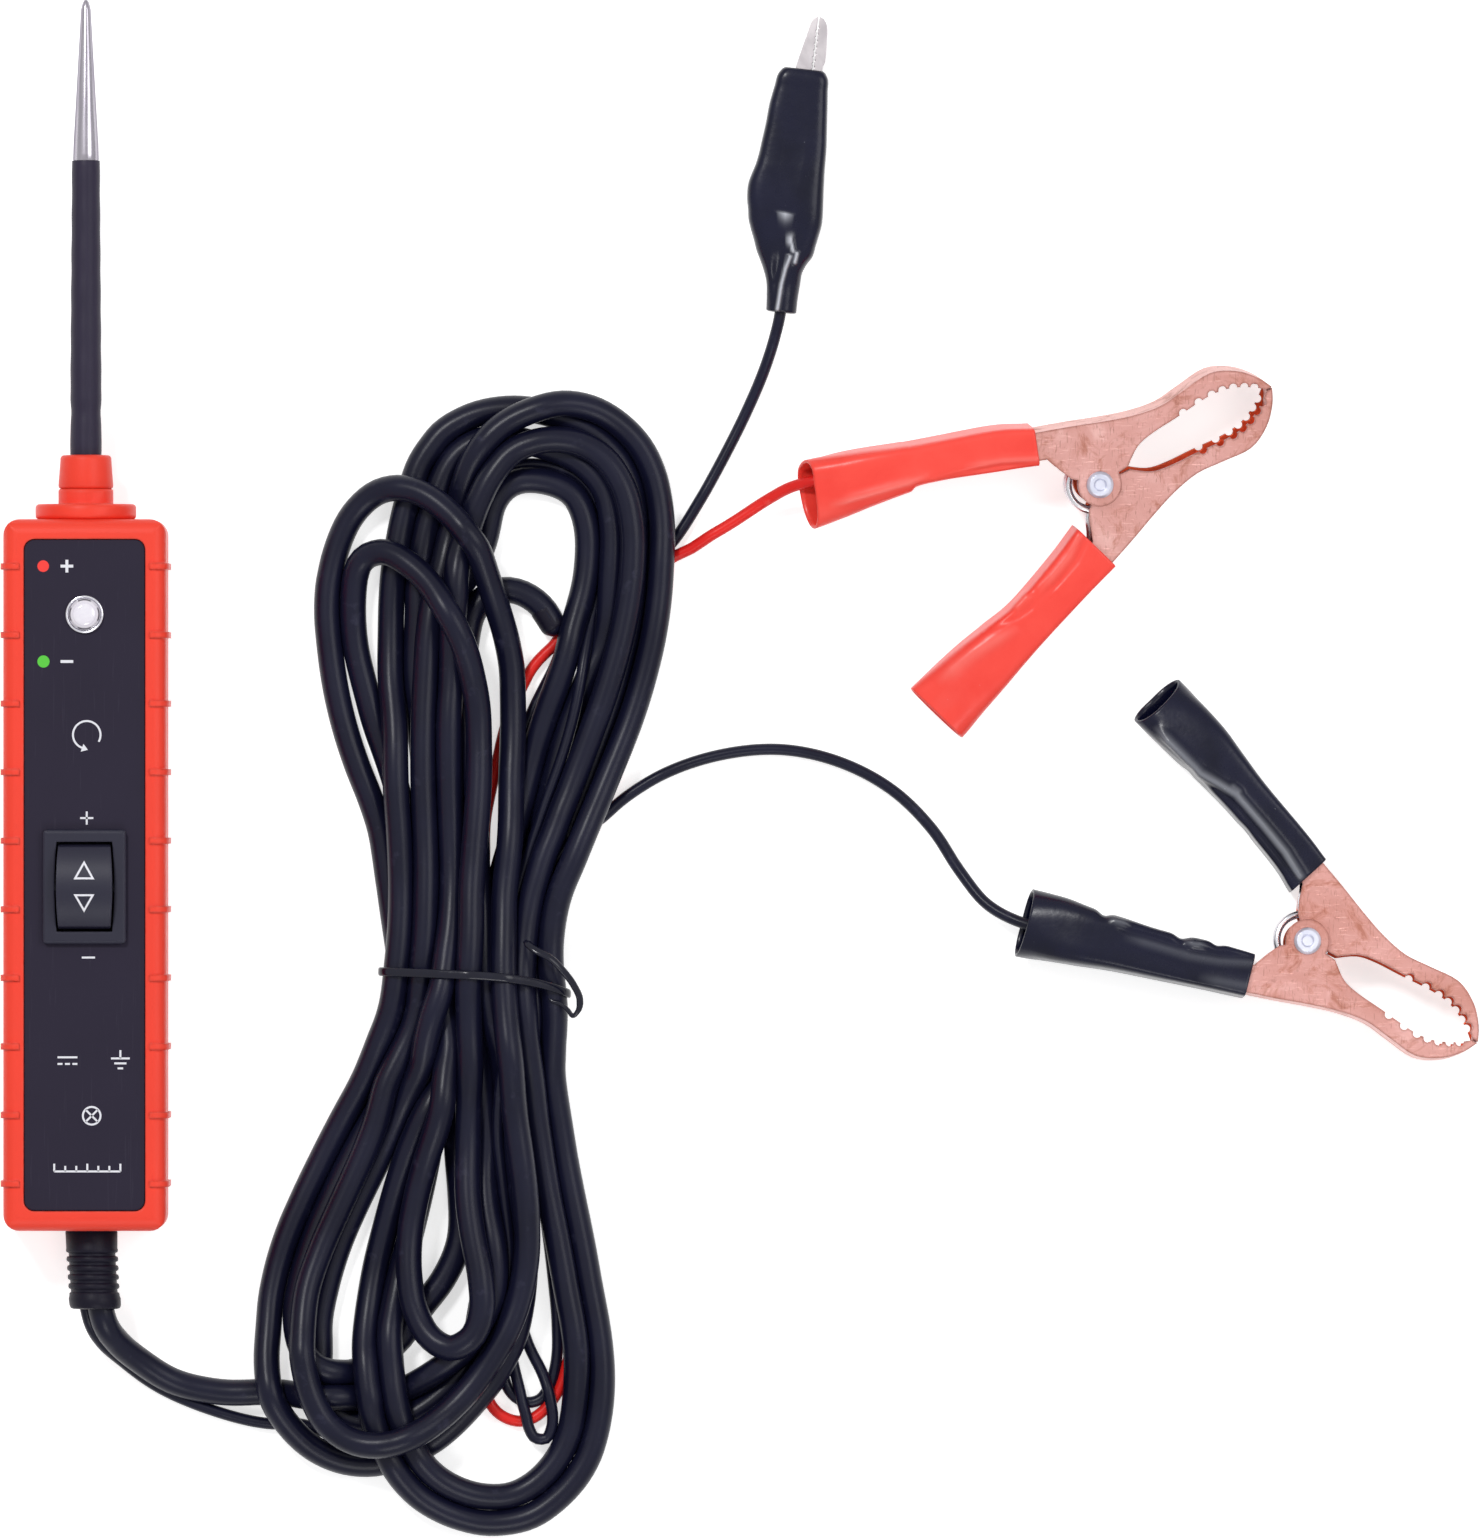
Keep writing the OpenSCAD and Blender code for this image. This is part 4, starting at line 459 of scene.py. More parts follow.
class Nodes:
    """The nodes of one material or world, in a tree that starts empty."""

    def __init__(self, owner):
        owner.use_nodes = True
        self.tree = owner.node_tree
        self.tree.nodes.clear()

    def node(self, kind, settings=None, inputs=None, output=0):
        """One node: its settings, then its sockets' values or links. Gives one output."""
        made = self.tree.nodes.new(kind)
        for name, value in (settings or {}).items():
            setattr(made, name, value)
        for key, value in (inputs or {}).items():
            if isinstance(value, Value):
                self.tree.links.new(value.socket, made.inputs[key])
            else:
                made.inputs[key].default_value = value
        return Value(self, made.outputs[output] if made.outputs else None)

    def outputs(self, kind, *names, inputs=None):
        """Several outputs of one node, by name."""
        made = self.node(kind, None, inputs).socket.node
        return [Value(self, made.outputs[name]) for name in names]

    def seen_as(self, kind, lit, shown):
        """Ends the tree in an output of that kind: lit for the light that it gives, and shown
        for what the camera sees of it, straight, in gloss and through glass."""
        camera, gloss, glass = self.outputs("ShaderNodeLightPath", "Is Camera Ray",
                                            "Is Glossy Ray", "Is Transmission Ray")
        seen = camera.maths("MAXIMUM", gloss).maths("MAXIMUM", glass)
        mixed = self.node("ShaderNodeMixShader", None, {0: seen, 1: lit, 2: shown})
        self.node(kind, None, {0: mixed})


class Finish(Nodes):
    """A material in the making: a Principled surface with constants, and nodes that vary its
    colour, roughness and relief."""

    def __init__(self, name, **constants):
        self.material = bpy.data.materials.new(name)
        super().__init__(self.material)
        shader = self.node("ShaderNodeBsdfPrincipled", None,
                           {key.replace("_", " "): value for key, value in constants.items()})
        self.surface = shader.socket.node
        self.node("ShaderNodeOutputMaterial", None, {0: shader})
        self.place = self.node("ShaderNodeTexCoord", output="Object")

    def noise(self, scale, detail=3.0, rough=0.55, twist=0.0, place=None):
        return self.node("ShaderNodeTexNoise", None, {
            "Vector": place or self.place, "Scale": scale, "Detail": detail,
            "Roughness": rough, "Distortion": twist})

    def stretched(self, x, y, z, place=None):
        return self.node("ShaderNodeMapping", None,
                         {"Vector": place or self.place, "Scale": (x, y, z)})

    def along(self):
        """The piece's own UV map, where x is the distance along it in metres."""
        return self.node("ShaderNodeUVMap", {"uv_map": "along"})

    def colours(self, mask, low, high):
        """The colour low where the mask is 0 and high where it is 1."""
        return self.node("ShaderNodeMix", {"data_type": "RGBA"}, {0: mask, 6: low, 7: high}, 2)

    def rounded(self, radius):
        return self.node("ShaderNodeBevel", {"samples": 4}, {"Radius": radius})

    def edges(self, radius, reach=0.25):
        """1 along the edges, where the rounded normal leaves the real one."""
        geometry = self.node("ShaderNodeNewGeometry", output="Normal")
        same = self.node("ShaderNodeVectorMath", {"operation": "DOT_PRODUCT"},
                         {0: self.rounded(radius), 1: geometry}, "Value")
        return (1.0 - same).over(0.02, reach)

    def relief(self, height, depth, strength=1.0, under=None):
        """A bump of that depth in metres where the height goes from 0 to 1."""
        inputs = {"Height": height, "Distance": depth, "Strength": strength}
        if under is not None:
            inputs["Normal"] = under
        return self.node("ShaderNodeBump", None, inputs)

    def done(self, **inputs):
        for socket, value in inputs.items():
            self.tree.links.new(value.socket, self.surface.inputs[socket.replace("_", " ")])
        return self.material


def moulded(name, colour, pale, roughness, grain=2600, depth=0.00003, edge=0.0006, specular=0.5):
    """Moulded plastic: a fine grain, cloudy tone, and paler rubbed edges."""
    f = Finish(name, IOR=1.5, Specular_IOR_Level=specular)
    cloud = f.noise(45, 4)
    fine = f.noise(grain, 2)
    worn = f.edges(edge) * f.noise(700, 3).over(0.35, 0.3)
    tone = f.colours(cloud.over(0.3, 0.45), colour, tuple(np.multiply(colour, 0.93)))
    return f.done(Base_Color=f.colours(worn * 0.35, tone, pale),
                  Roughness=roughness + cloud * 0.12 + fine * 0.05,
                  Normal=f.relief(fine, depth, 0.6, f.rounded(edge)))


def housing_red():
    return moulded("housing red", tuple(bpy.context.scene.tester_body.housing_colour) + (1.0,),
                   paint(255, 140, 124), 0.3, 2200, specular=0.28)


def panel_sheet():
    """Thin printed sheet: a cloudy tone, a fine grain and a few hair scratches."""
    f = Finish("panel sheet", IOR=1.48, Specular_IOR_Level=0.16)
    colour = tuple(bpy.context.scene.tester_body.panel_colour) + (1.0,)
    cloud, fine = f.noise(60, 4), f.noise(5200, 2)
    hair = f.noise(160, 2, 0.5, 0.4, f.stretched(14, 0.5, 1)).over(0.66, 0.05)
    tone = f.colours(cloud, tuple(np.multiply(colour, 0.9)), tuple(np.multiply(colour, 1.12)))
    return f.done(Base_Color=f.colours(hair * 0.03, tone, paint(120, 116, 132)),
                  Roughness=0.42 + cloud * 0.12 + hair * 0.05,
                  Normal=f.relief(fine, 0.00002, 0.5, f.rounded(0.0002)))


def shrunk_sleeve():
    """Shrunk-on sleeve: long faint wrinkles, a dull skin."""
    f = Finish("shrunk sleeve", IOR=1.5, Specular_IOR_Level=0.22)
    long = f.noise(60, 3, 0.5, 0.3, f.stretched(22, 1.2, 22))
    fine = f.noise(3000, 2)
    return f.done(Base_Color=f.colours(long, paint(36, 31, 50), paint(48, 42, 62)),
                  Roughness=0.36 + long * 0.2,
                  Normal=f.relief(long * 0.7 + fine * 0.3, 0.00008, 0.7))


def steel():
    """Turned and plated steel: fine rings, a few dull spots."""
    f = Finish("plated steel", Metallic=1.0)
    rings = f.noise(900, 2, 0.6, 0, f.stretched(0.2, 6, 0.2))
    spots = f.noise(240, 4)
    tone = f.colours(spots.over(0.35, 0.4), paint(206, 206, 212), paint(232, 232, 236))
    return f.done(Base_Color=tone,
                  Roughness=0.16 + rings * 0.14 + spots.over(0.5, 0.3) * 0.12,
                  Normal=f.relief(rings, 0.00001, 0.6, f.rounded(0.0002)))


def ground_steel():
    """Ground steel: smooth along the taper, duller and darker at its sides than the plated
    pieces."""
    f = Finish("ground steel", Metallic=1.0, Specular_Tint=(0.42, 0.4, 0.44, 1.0))
    drawn = f.noise(500, 2, 0.5, 0, f.stretched(3, 0.05, 3))
    tone = f.colours(drawn.over(0.3, 0.4), paint(152, 147, 158), paint(180, 176, 184))
    return f.done(Base_Color=tone, Roughness=0.2 + drawn * 0.08)


def rivet():
    """Pressed rivet: a pale dull plating with a few faint spots."""
    f = Finish("rivet plating", Metallic=1.0)
    spots = f.noise(300, 4)
    tone = f.colours(spots.over(0.35, 0.4), paint(200, 202, 218), paint(222, 223, 236))
    return f.done(Base_Color=tone, Roughness=0.36 + spots * 0.08, Normal=f.rounded(0.0003))


def copper(clip):
    """Copper-plated sheet of one clip: a pink tone with rubbed clouds, brown stains and fine
    scratches, and a darker line along the sheared edges. Inside the fold a deep orange is
    painted in as the light that copper casts on copper: there -(n.u)(p.u) is above 0, where n
    is the normal, u the clip's axis and p the place from its middle."""
    f = Finish("copper plate " + clip, Metallic=1.0)
    at, turn, _ = CLIPS[clip]
    axis = placed([(0, 0, 1)], (0, 0, 0), turn)[0] / MM
    height, facing = (f.node("ShaderNodeVectorMath", {"operation": "DOT_PRODUCT"},
                             {0: v, 1: tuple(axis)}, "Value")
                      for v in (f.place, f.node("ShaderNodeNewGeometry", output="Normal")))
    # Painted bounce light: the mask of the deep orange painted inside the fold.
    inside = (0.0 - facing * (height - float(np.dot(at, axis)) * MM)).over(0.0015, 0.001)
    body = bpy.context.scene.tester_clips
    base = tuple(body.copper_colour) + (1.0,)
    cloud = f.noise(55, 5, 0.62, 0.8)
    stain = f.noise(150, 6, 0.7, 1.4).over(1 - body.stains, 0.14)
    freckle = f.noise(900, 3, 0.6).over(0.62, 0.1)
    scratch = f.noise(300, 2, 0.5, 0.4, f.stretched(1, 14, 1)).over(0.64, 0.05)
    rub = f.noise(300, 2, 0.5, 0.4, f.stretched(12, 1.5, 1)).over(0.62, 0.05)
    edge = f.edges(0.0008, 0.16)
    tone = f.colours(cloud.over(0.34, 0.3), paint(197, 140, 130), base)
    for mask, over in ((cloud.over(0.56, 0.2) * 0.7, paint(234, 194, 188)),
                       (stain * 0.65, paint(146, 86, 62)), (freckle * 0.25, paint(120, 70, 56)),
                       (scratch * 0.2, paint(238, 206, 198)), (rub * 0.35, paint(132, 82, 68)),
                       (edge * 0.75, paint(124, 70, 56)), (inside * 0.92, paint(228, 94, 54))):
        tone = f.colours(mask, tone, over)
    return f.done(Base_Color=tone,
                  Roughness=0.3 + cloud * 0.14 + stain * 0.16,
                  Normal=f.relief(cloud * 0.4 + scratch * 0.3 + f.noise(1800, 2) * 0.3,
                                  0.00005, 0.8, f.rounded(0.0003)))


def nickel():
    """Nickel-plated sheet: a cloudy dullness and scratches along the jaws."""
    f = Finish("nickel sheet", Metallic=1.0)
    cloud = f.noise(160, 4, 0.6, 0.3)
    scratch = f.noise(500, 2, 0.5, 0.3, f.stretched(9, 1, 1)).over(0.64, 0.08)
    tone = f.colours(cloud.over(0.3, 0.4), paint(188, 182, 186), paint(216, 210, 212))
    return f.done(Base_Color=tone, Roughness=0.26 + cloud * 0.16 + scratch * 0.1,
                  Normal=f.relief(cloud * 0.5 + scratch * 0.4, 0.00002, 0.6, f.rounded(0.0002)))


def plated(name, scale, detail, low, high, roughness, vary, depth, strength, edge=None):
    """Plain metal: a cloudy tone and dullness, and a slight unevenness."""
    f = Finish(name, Metallic=1.0)
    cloud = f.noise(scale, detail)
    return f.done(Base_Color=f.colours(cloud, low, high), Roughness=roughness + cloud * vary,
                  Normal=f.relief(cloud, depth, strength, edge and f.rounded(edge)))


def vinyl(name, deep, pale, roughness, dust_and_highlight, gloss):
    """Dipped vinyl: long soft streaks, a slightly uneven skin, a few specks of dust, and a painted
    highlight along the folds, where the piece stores it as crease."""
    f = Finish(name, IOR=1.5, Specular_IOR_Level=gloss)
    streak = f.noise(90, 4, 0.55, 0.5)
    skin = f.noise(700, 3)
    dust = f.noise(1500, 2, 0.5).over(0.78, 0.03)
    tone = f.colours(streak.over(0.3, 0.4), deep, pale)
    # crease holds the painted highlight on the folds, shown in the same pale colour as the dust.
    crease = f.node("ShaderNodeAttribute", {"attribute_name": "crease"}, output="Fac")
    tone = f.colours(dust * 0.35 + crease, tone, dust_and_highlight)
    return f.done(Base_Color=tone,
                  Roughness=roughness + streak * 0.12 + skin * 0.08,
                  Normal=f.relief(streak * 0.6 + skin * 0.4, 0.00012, 0.7))


def jacket(name, deep, pale, rub, roughness):
    """Cable jacket: extrusion lines along the cord, cloudy tone, and dull rubbed places."""
    f = Finish(name, IOR=1.5, Specular_IOR_Level=0.22)
    along = f.along()
    lines = f.noise(1, 2, 0.5, 0, f.stretched(60, 22, 1, along))
    cloud = f.noise(70, 4)
    skin = f.noise(2600, 2)
    rubbed = f.noise(240, 4, 0.65).over(0.62, 0.12)
    tone = f.colours(cloud.over(0.3, 0.4), deep, pale)
    return f.done(Base_Color=f.colours(rubbed * 0.35, tone, rub),
                  Roughness=roughness + cloud * 0.1 + rubbed * 0.12,
                  Normal=f.relief(lines * 0.5 + skin * 0.5, 0.00004, 0.6))


def twist_tie():
    """Twist tie: glossy plastic over a wire, with a fine cross rib."""
    f = Finish("twist tie", IOR=1.5, Specular_IOR_Level=0.35)
    ribs = f.noise(1, 1, 0.5, 0, f.stretched(900, 2, 1, f.along()))
    cloud = f.noise(500, 3)
    return f.done(Base_Color=f.colours(cloud, paint(10, 11, 28), paint(20, 21, 40)),
                  Roughness=0.12 + cloud * 0.15, Normal=f.relief(ribs, 0.00003, 0.5))


def lens():
    """Clear lamp: a bright milky middle, a faint inner ring, and four dark arcs at the rim that
    are painted reflections in the dome's edge."""
    f = Finish("lamp lens", IOR=1.5, Roughness=0.06, Coat_Weight=0.5)
    moved = f.node("ShaderNodeMapping", None,
                   {"Vector": f.place, "Location": (0, -LAMP_Y * MM, 0)})
    x, y = f.outputs("ShaderNodeSeparateXYZ", "X", "Y", inputs={0: moved})
    far = (x * x + y * y).maths("SQRT") / MM
    side = (x * x - y * y).maths("ABSOLUTE") / (x * x + y * y + 1e-9)
    # Painted reflections: four dark arcs round the dome's rim.
    painted_reflection_arcs = far.over(2.5, 0.05) * (1.0 - far.over(2.78, 0.05)) * side.over(0.5, 0.2)
    inner = far.over(1.95, 0.08) * (1.0 - far.over(2.1, 0.08))
    cloud = f.noise(900, 3)
    tone = f.colours(cloud, paint(232, 226, 240), paint(248, 246, 252))
    tone = f.colours(inner * 0.4, tone, paint(206, 198, 216))
    return f.done(Base_Color=f.colours(painted_reflection_arcs * 0.85, tone, paint(60, 56, 70)),
                  Normal=f.relief(cloud, 0.00002, 0.4))


def printed(name, colour):
    """Screen print: slightly uneven ink with pinholes."""
    f = Finish(name, IOR=1.48, Specular_IOR_Level=0.3)
    cloud, holes = f.noise(1400, 3), f.noise(5200, 2).over(0.7, 0.05)
    tone = f.colours(cloud, tuple(np.multiply(colour, 0.9)), colour)
    return f.done(Base_Color=f.colours(holes * 0.3, tone, paint(90, 88, 98)),
                  Roughness=0.42 + cloud * 0.15, Normal=f.relief(cloud, 0.00001, 0.5))


def board():
    """Coated board: a cloudy green over a fine weave."""
    f = Finish("board green", IOR=1.5)
    cloud, weave = f.noise(200, 3), f.noise(2600, 2)
    return f.done(Base_Color=f.colours(cloud, paint(18, 74, 46), paint(30, 100, 62)),
                  Roughness=0.3 + weave * 0.2, Normal=f.relief(weave, 0.00003, 0.5))


# Each finish: what makes it, and with which values.
LOOKS = {
    "housing": (housing_red,),
    "panel": (panel_sheet,),
    "switch": (moulded, "switch black", paint(33, 32, 50), paint(92, 90, 108), 0.33, 2800,
               0.00002, 0.0005, 0.32),
    "relief": (moulded, "relief rubber", paint(16, 13, 30), paint(60, 57, 76), 0.34, 2400,
               0.00003, 0.0004, 0.18),
    "breaker": (moulded, "breaker brown", paint(104, 66, 44), paint(170, 128, 98), 0.4),
    "sleeve": (shrunk_sleeve,),
    "steel": (steel,),
    "rod": (ground_steel,),
    "rivet": (rivet,),
    "red_copper": (copper, "red"),
    "black_copper": (copper, "black"),
    "nickel": (nickel,),
    "ring": (plated, "lamp ring", 700, 3, paint(214, 212, 220), paint(240, 240, 246), 0.14, 0.12,
             0.00001, 0.5, 0.0002),
    "brass": (plated, "brass strap", 300, 4, paint(190, 150, 84), paint(226, 190, 120), 0.25, 0.2,
              0.00002, 0.6),
    # In each vinyl, the colour before the gloss is that of the dust specks and of the painted
    # highlight on the folds.
    "red_vinyl": (vinyl, "red vinyl", paint(249, 69, 58), paint(255, 82, 70), 0.22,
                  paint(255, 200, 190), 0.32),
    "black_vinyl": (vinyl, "black vinyl", paint(5, 7, 31), paint(12, 14, 43), 0.17,
                    paint(196, 199, 208), 0.28),
    "black_jacket": (jacket, "black jacket", paint(12, 13, 33), paint(21, 22, 44),
                     paint(56, 56, 78), 0.28),
    "red_jacket": (jacket, "red jacket", paint(222, 30, 28), paint(240, 48, 42),
                   paint(255, 130, 120), 0.28),
    "tie": (twist_tie,),
    "lens": (lens,),
    "white_print": (printed, "white print", paint(236, 236, 244)),
    "red_print": (printed, "red print", paint(255, 66, 60)),
    "green_print": (printed, "green print", paint(92, 206, 66)),
    "board": (board,),
}
FINISHES = {}


def finish(name):
    """The finished material of that name, made once."""
    if name not in FINISHES:
        make, *values = LOOKS[name]
        FINISHES[name] = make(*values)
    return FINISHES[name]


def dress(node, name):
    """Gives a CAD node a finished material, and leaves its mesh alone."""
    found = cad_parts[node]
    for slot in found.material_slots:
        slot.material = finish(name)
    if not found.material_slots:
        raise RuntimeError(node + " has no material slot")


def show(piece, look, body, slot, *replaced):
    """Gives a new piece its finish, its body and the nodes it stands for. slot is not used.
    A piece that bends between two bodies names both, and where the bend starts and ends; such a
    piece is only left in place, with its place baked into its mesh, and is not made to bend.
    The nodes it stands for are hidden."""
    piece.data.materials.append(finish(look))
    if isinstance(body, tuple):
        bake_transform(piece)
    else:
        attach(piece, body)
    if replaced:
        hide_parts(*replaced)
    return piece


# ---- Cords

# Millimetres between the points of a route.
ROUTE_GAP = 2.3
# Settling: how near two points are when they are looked at as a pair, after how many passes the
# pairs are found again, and what share of a bend, of a stretch and of an overlap a pass mends.
PAIR_REACH = 7.0
PAIRS_EVERY = 12
BEND_SHARE, STRETCH_SHARE, PARTING = 0.45, 0.25, 1.5
# Two points of one cord are no pair where the way between them along it is under SAME_CORD
# diameters, and a diameter counts as MOST_COUNTED millimetres at most. The distances are worked
# out for a block of points at a time.
SAME_CORD, MOST_COUNTED = 2.6, 5
BLOCK = 256
# What stays as drawn: the first points of the two cords at the strain relief, and each cord
# past this X.
HELD_POINTS = 16
HELD_PAST_X = np.array([np.inf, 112, 112, 104])
# Pairs this near to the jacket's end aren't parted.
LEAVING_REACH = 6
# A stage with a firm hold parts the strands only in height.
FIRM_HOLD = 0.05
STAGES = ((150, 0.08, 0.06), (450, 0.03, 0.06), (120, 0.03, 0.015))
SETTLED = []


def strands(start, inner, end, radius):
    """A cord's whole route in millimetres: its start, its strands in the hank, its end. A
    strand's height is its radius and its layer's height."""
    hank = [(x, y, radius + LAYER * layer) for x, y, layer in inner]
    return evened(smooth_curve(list(start) + hank + list(end)), ROUTE_GAP)


def neighbours(p, r, cord, leaving):
    """Pairs of points of the cords that may touch, apart from near ones along one cord, and
    from those where the leads leave the jacket."""
    found = []
    for a in range(0, len(p), BLOCK):
        flat = p[a:a + BLOCK, None, :2] - p[None, :, :2]
        i, j = np.nonzero((flat**2).sum(-1) < PAIR_REACH**2)
        i = i + a
        along = np.abs(i - j) * ROUTE_GAP
        near = along < SAME_CORD * np.minimum(r[i] + r[j], MOST_COUNTED)
        close = (cord[i] == cord[j]) & near
        close |= leaving[i] & leaving[j]
        found.append(np.stack([i, j], axis=1)[(j > i) & ~close])
    return np.concatenate(found).T


def settle():
    """Lets the cords sink on each other. Each pass pulls every point down, keeps each bend
    near its drawn form and each gap near its length, holds the drawn place from above, and
    parts the pairs that lie in each other: first only in height, in the order of their
    layers, and then straight apart. The surface stops what sinks."""
    sizes = bpy.context.scene.tester_cords
    main_r, lead_r = sizes.main_diameter / 2 / MM, sizes.lead_diameter / 2 / MM
    routes = [strands(MAIN_START, MAIN_STRANDS, (), main_r),
              strands(GROUND_START, GROUND_STRANDS, GROUND_END, lead_r),
              strands((), RED_STRANDS, RED_END, lead_r),
              strands((), BLACK_STRANDS, BLACK_END, lead_r)]
    count = [len(q) for q in routes]
    first = np.concatenate([[0], np.cumsum(count)])
    drawn = np.concatenate(routes)
    cord = np.repeat(np.arange(4), count)
    r = np.where(cord == 0, main_r, lead_r)
    held = drawn[:, 0] > HELD_PAST_X[cord]
    held |= (np.arange(len(drawn)) - first[cord] < HELD_POINTS) & (cord < 2)
    inside = np.setdiff1d(np.arange(len(drawn)), np.concatenate([first[:-1], first[1:] - 1]))
    link = np.flatnonzero(cord[:-1] == cord[1:])
    rest = np.linalg.norm(drawn[link + 1] - drawn[link], axis=1)
    bend = (drawn[inside - 1] + drawn[inside + 1]) / 2 - drawn[inside]
    bend[:, 2] = 0
    layer = drawn[:, 2] - r
    main_end = drawn[count[0] - 1]
    leaving = (cord != 1) & (np.linalg.norm(drawn - main_end, axis=1) < LEAVING_REACH)
    p = drawn.copy()
    for passes, hold, sink in STAGES:
        for k in range(passes):
            if k % PAIRS_EVERY == 0:
                i, j = neighbours(p, r, cord, leaving)
                order = np.where(layer[i] >= layer[j], 1.0, -1.0)
                apart = r[i] + r[j]
            q = p.copy()
            q[:, 2] -= sink
            middle = (p[inside - 1] + p[inside + 1]) / 2
            q[inside] += BEND_SHARE * (middle - p[inside] - bend)
            q[:, :2] += hold * (drawn[:, :2] - p[:, :2])
            d = q[i] - q[j]
            if hold > FIRM_HOLD:
                need = np.sqrt(np.maximum(apart**2 - (d[:, :2]**2).sum(1), 0)) - order * d[:, 2]
                hit = ((d[:, :2]**2).sum(1) < apart**2) & (need > 0)
                push = np.zeros_like(d)
                push[:, 2] = order * need / 2
            else:
                size = np.linalg.norm(d, axis=1)
                hit = size < apart
                push = d * ((apart - size) / np.maximum(size, 1e-6) / 2)[:, None]
            i_hit, j_hit, push = i[hit], j[hit], push[hit]
            total = np.stack([np.bincount(i_hit, c, len(p)) - np.bincount(j_hit, c, len(p))
                              for c in push.T], axis=1)
            met = np.bincount(i_hit, minlength=len(p)) + np.bincount(j_hit, minlength=len(p))
            q += PARTING * total / np.maximum(met, 1)[:, None]
            e = q[link + 1] - q[link]
            size = np.linalg.norm(e, axis=1)
            pull = e * (STRETCH_SHARE * (size - rest) / np.maximum(size, 1e-6))[:, None]
            q[link] += pull
            q[link + 1] -= pull
            q[:, 2] = np.maximum(q[:, 2], r)
            q[held] = drawn[held]
            p = q
    return [p[a:b] for a, b in zip(first[:-1], first[1:])]


def settled():
    """The four cords' settled centre lines in millimetres, worked out once: the main cable,
    the ground wire, the red lead and the black lead."""
    if not SETTLED:
        SETTLED.extend(settle())
    return SETTLED


def centre_line(k, gap):
    """One cord's smooth centre line, in metres, with points at that gap in millimetres."""
    return evened(smooth_curve(settled()[k], 6), gap) * MM


# Each cord: its piece, its size, its sides, the gap of its points, its finish and slot, how it
# bends and lies, the nodes that it stands for, and the nodes at its far end.
CORDS = (
    ("main_cable_run", "main_diameter", 20, 1.3, "black_jacket", "cable_black", "medium",
     "coiled", ("main_cable", "cable_hank"), ()),
    ("ground_wire", "lead_diameter", 12, 0.8, "black_jacket", "cable_black", "limp", "loose",
     ("ground_tail", "ground_lead"), ("gator_fixed_jaw", "gator_lever_jaw")),
    ("red_clip_wire", "lead_diameter", 12, 0.8, "red_jacket", "cable_red", "limp", "loose",
     ("red_lead",), ("red_wire_jaw", "red_lever_jaw")),
    ("black_clip_wire", "lead_diameter", 12, 0.8, "black_jacket", "cable_black", "limp", "loose",
     ("black_lead",), ("black_wire_jaw", "black_lever_jaw")),
)


def jacket_end(line):
    """The sleeve over the end of the main cable's line, where the three leads come out."""
    s = np.linspace(-3.4, 1.4, 13)
    at = line[-1] + unit(line[-1] - line[-4]) * s[:, None] * MM
    wide = np.interp(s, [-3.4, -3, 0.4, 1, 1.4], [2.32, 2.42, 2.4, 2.2, 1.7]) * MM
    return show(surface("jacket_end", swept(at, wide, wide, 24), sharp=50), "relief", "root",
                "cable_black")


class TESTER_OT_cords(bpy.types.Operator):
    """Build the main cable, the ground wire and the two clip leads, settled in their hank"""

    bl_idname = "tester.cords"
    bl_label = "Cords"

    def execute(self, context):
        for k, (name, size, sides, gap, look, slot, bends, lies, nodes, ends) in enumerate(CORDS):
            wide = getattr(context.scene.tester_cords, size)
            line = centre_line(k, gap)
            cord = show(tube(name, line, wide / 2, sides), look, "root", slot, *nodes)
            ends or [jacket_end(line)]
        return {"FINISHED"}


# The tie: its half width and half thickness, the X between which it goes round the strands, and
# its tail, where Z is how far each point lies under the band's top.
BAND_WIDE, BAND_THICK = 0.8, 0.42
WAIST_X = (50, 92)
TAIL = ((79.8, -52.2, 1.6), (81.45, -53.6, 0.4), (84.5, -55.3, 0), (86.7, -57.5, 0.6),
        (88.7, -60.2, 2), (89.8, -62.9, 3.6), (89.45, -64.9, 4.6), (88.5, -65.8, 5),
        (87.6, -64.7, 5), (86.2, -63.6, 5.2), (84.7, -63.1, 5.4), (84, -62.5, 5.6))


def waist_band(grow):
    """The closed line that a band takes round the strands at the tie, in millimetres: of all
    the points on circles round the strands, the furthest one in each direction."""
    found = []
    sizes = bpy.context.scene.tester_cords
    for k, path in enumerate(settled()):
        radius = (sizes.main_diameter if k == 0 else sizes.lead_diameter) / 2 / MM + grow
        x, y = path[:-1, 0], path[:, 1] - band_y(path[:, 0])
        at = np.flatnonzero((y[:-1] * y[1:] < 0) & (x > WAIST_X[0]) & (x < WAIST_X[1]))
        share = (y[at] / (y[at] - y[at + 1]))[:, None]
        crossing = (path[at] * (1 - share) + path[at + 1] * share)[:, [0, 2]]
        found.append(np.column_stack([crossing, np.full(len(at), radius)]))
    x, z, r = np.concatenate(found).T
    angle = around(60)
    rim_x = (x[:, None] + r[:, None] * np.cos(angle)).ravel()
    rim_z = (z[:, None] + r[:, None] * np.sin(angle)).ravel()
    best = np.argmax(np.outer(np.cos(angle), rim_x) + np.outer(np.sin(angle), rim_z), axis=1)
    line = np.column_stack([rim_x[best], np.maximum(rim_z[best], grow + 0.05)])
    kept = np.linalg.norm(line - np.roll(line, 1, axis=0), axis=1) > 0.05
    return evened(np.concatenate([line[kept], line[kept][:1]]), 0.7)[:-1]


def band_y(x):
    """Y of the band at each X: nearly level on its left side, and steep at its right end."""
    share = (x - 55) / 30.6
    return TIE_Y + 2.2 - 1.07 * share - 2 * np.maximum(share, 0) ** 5


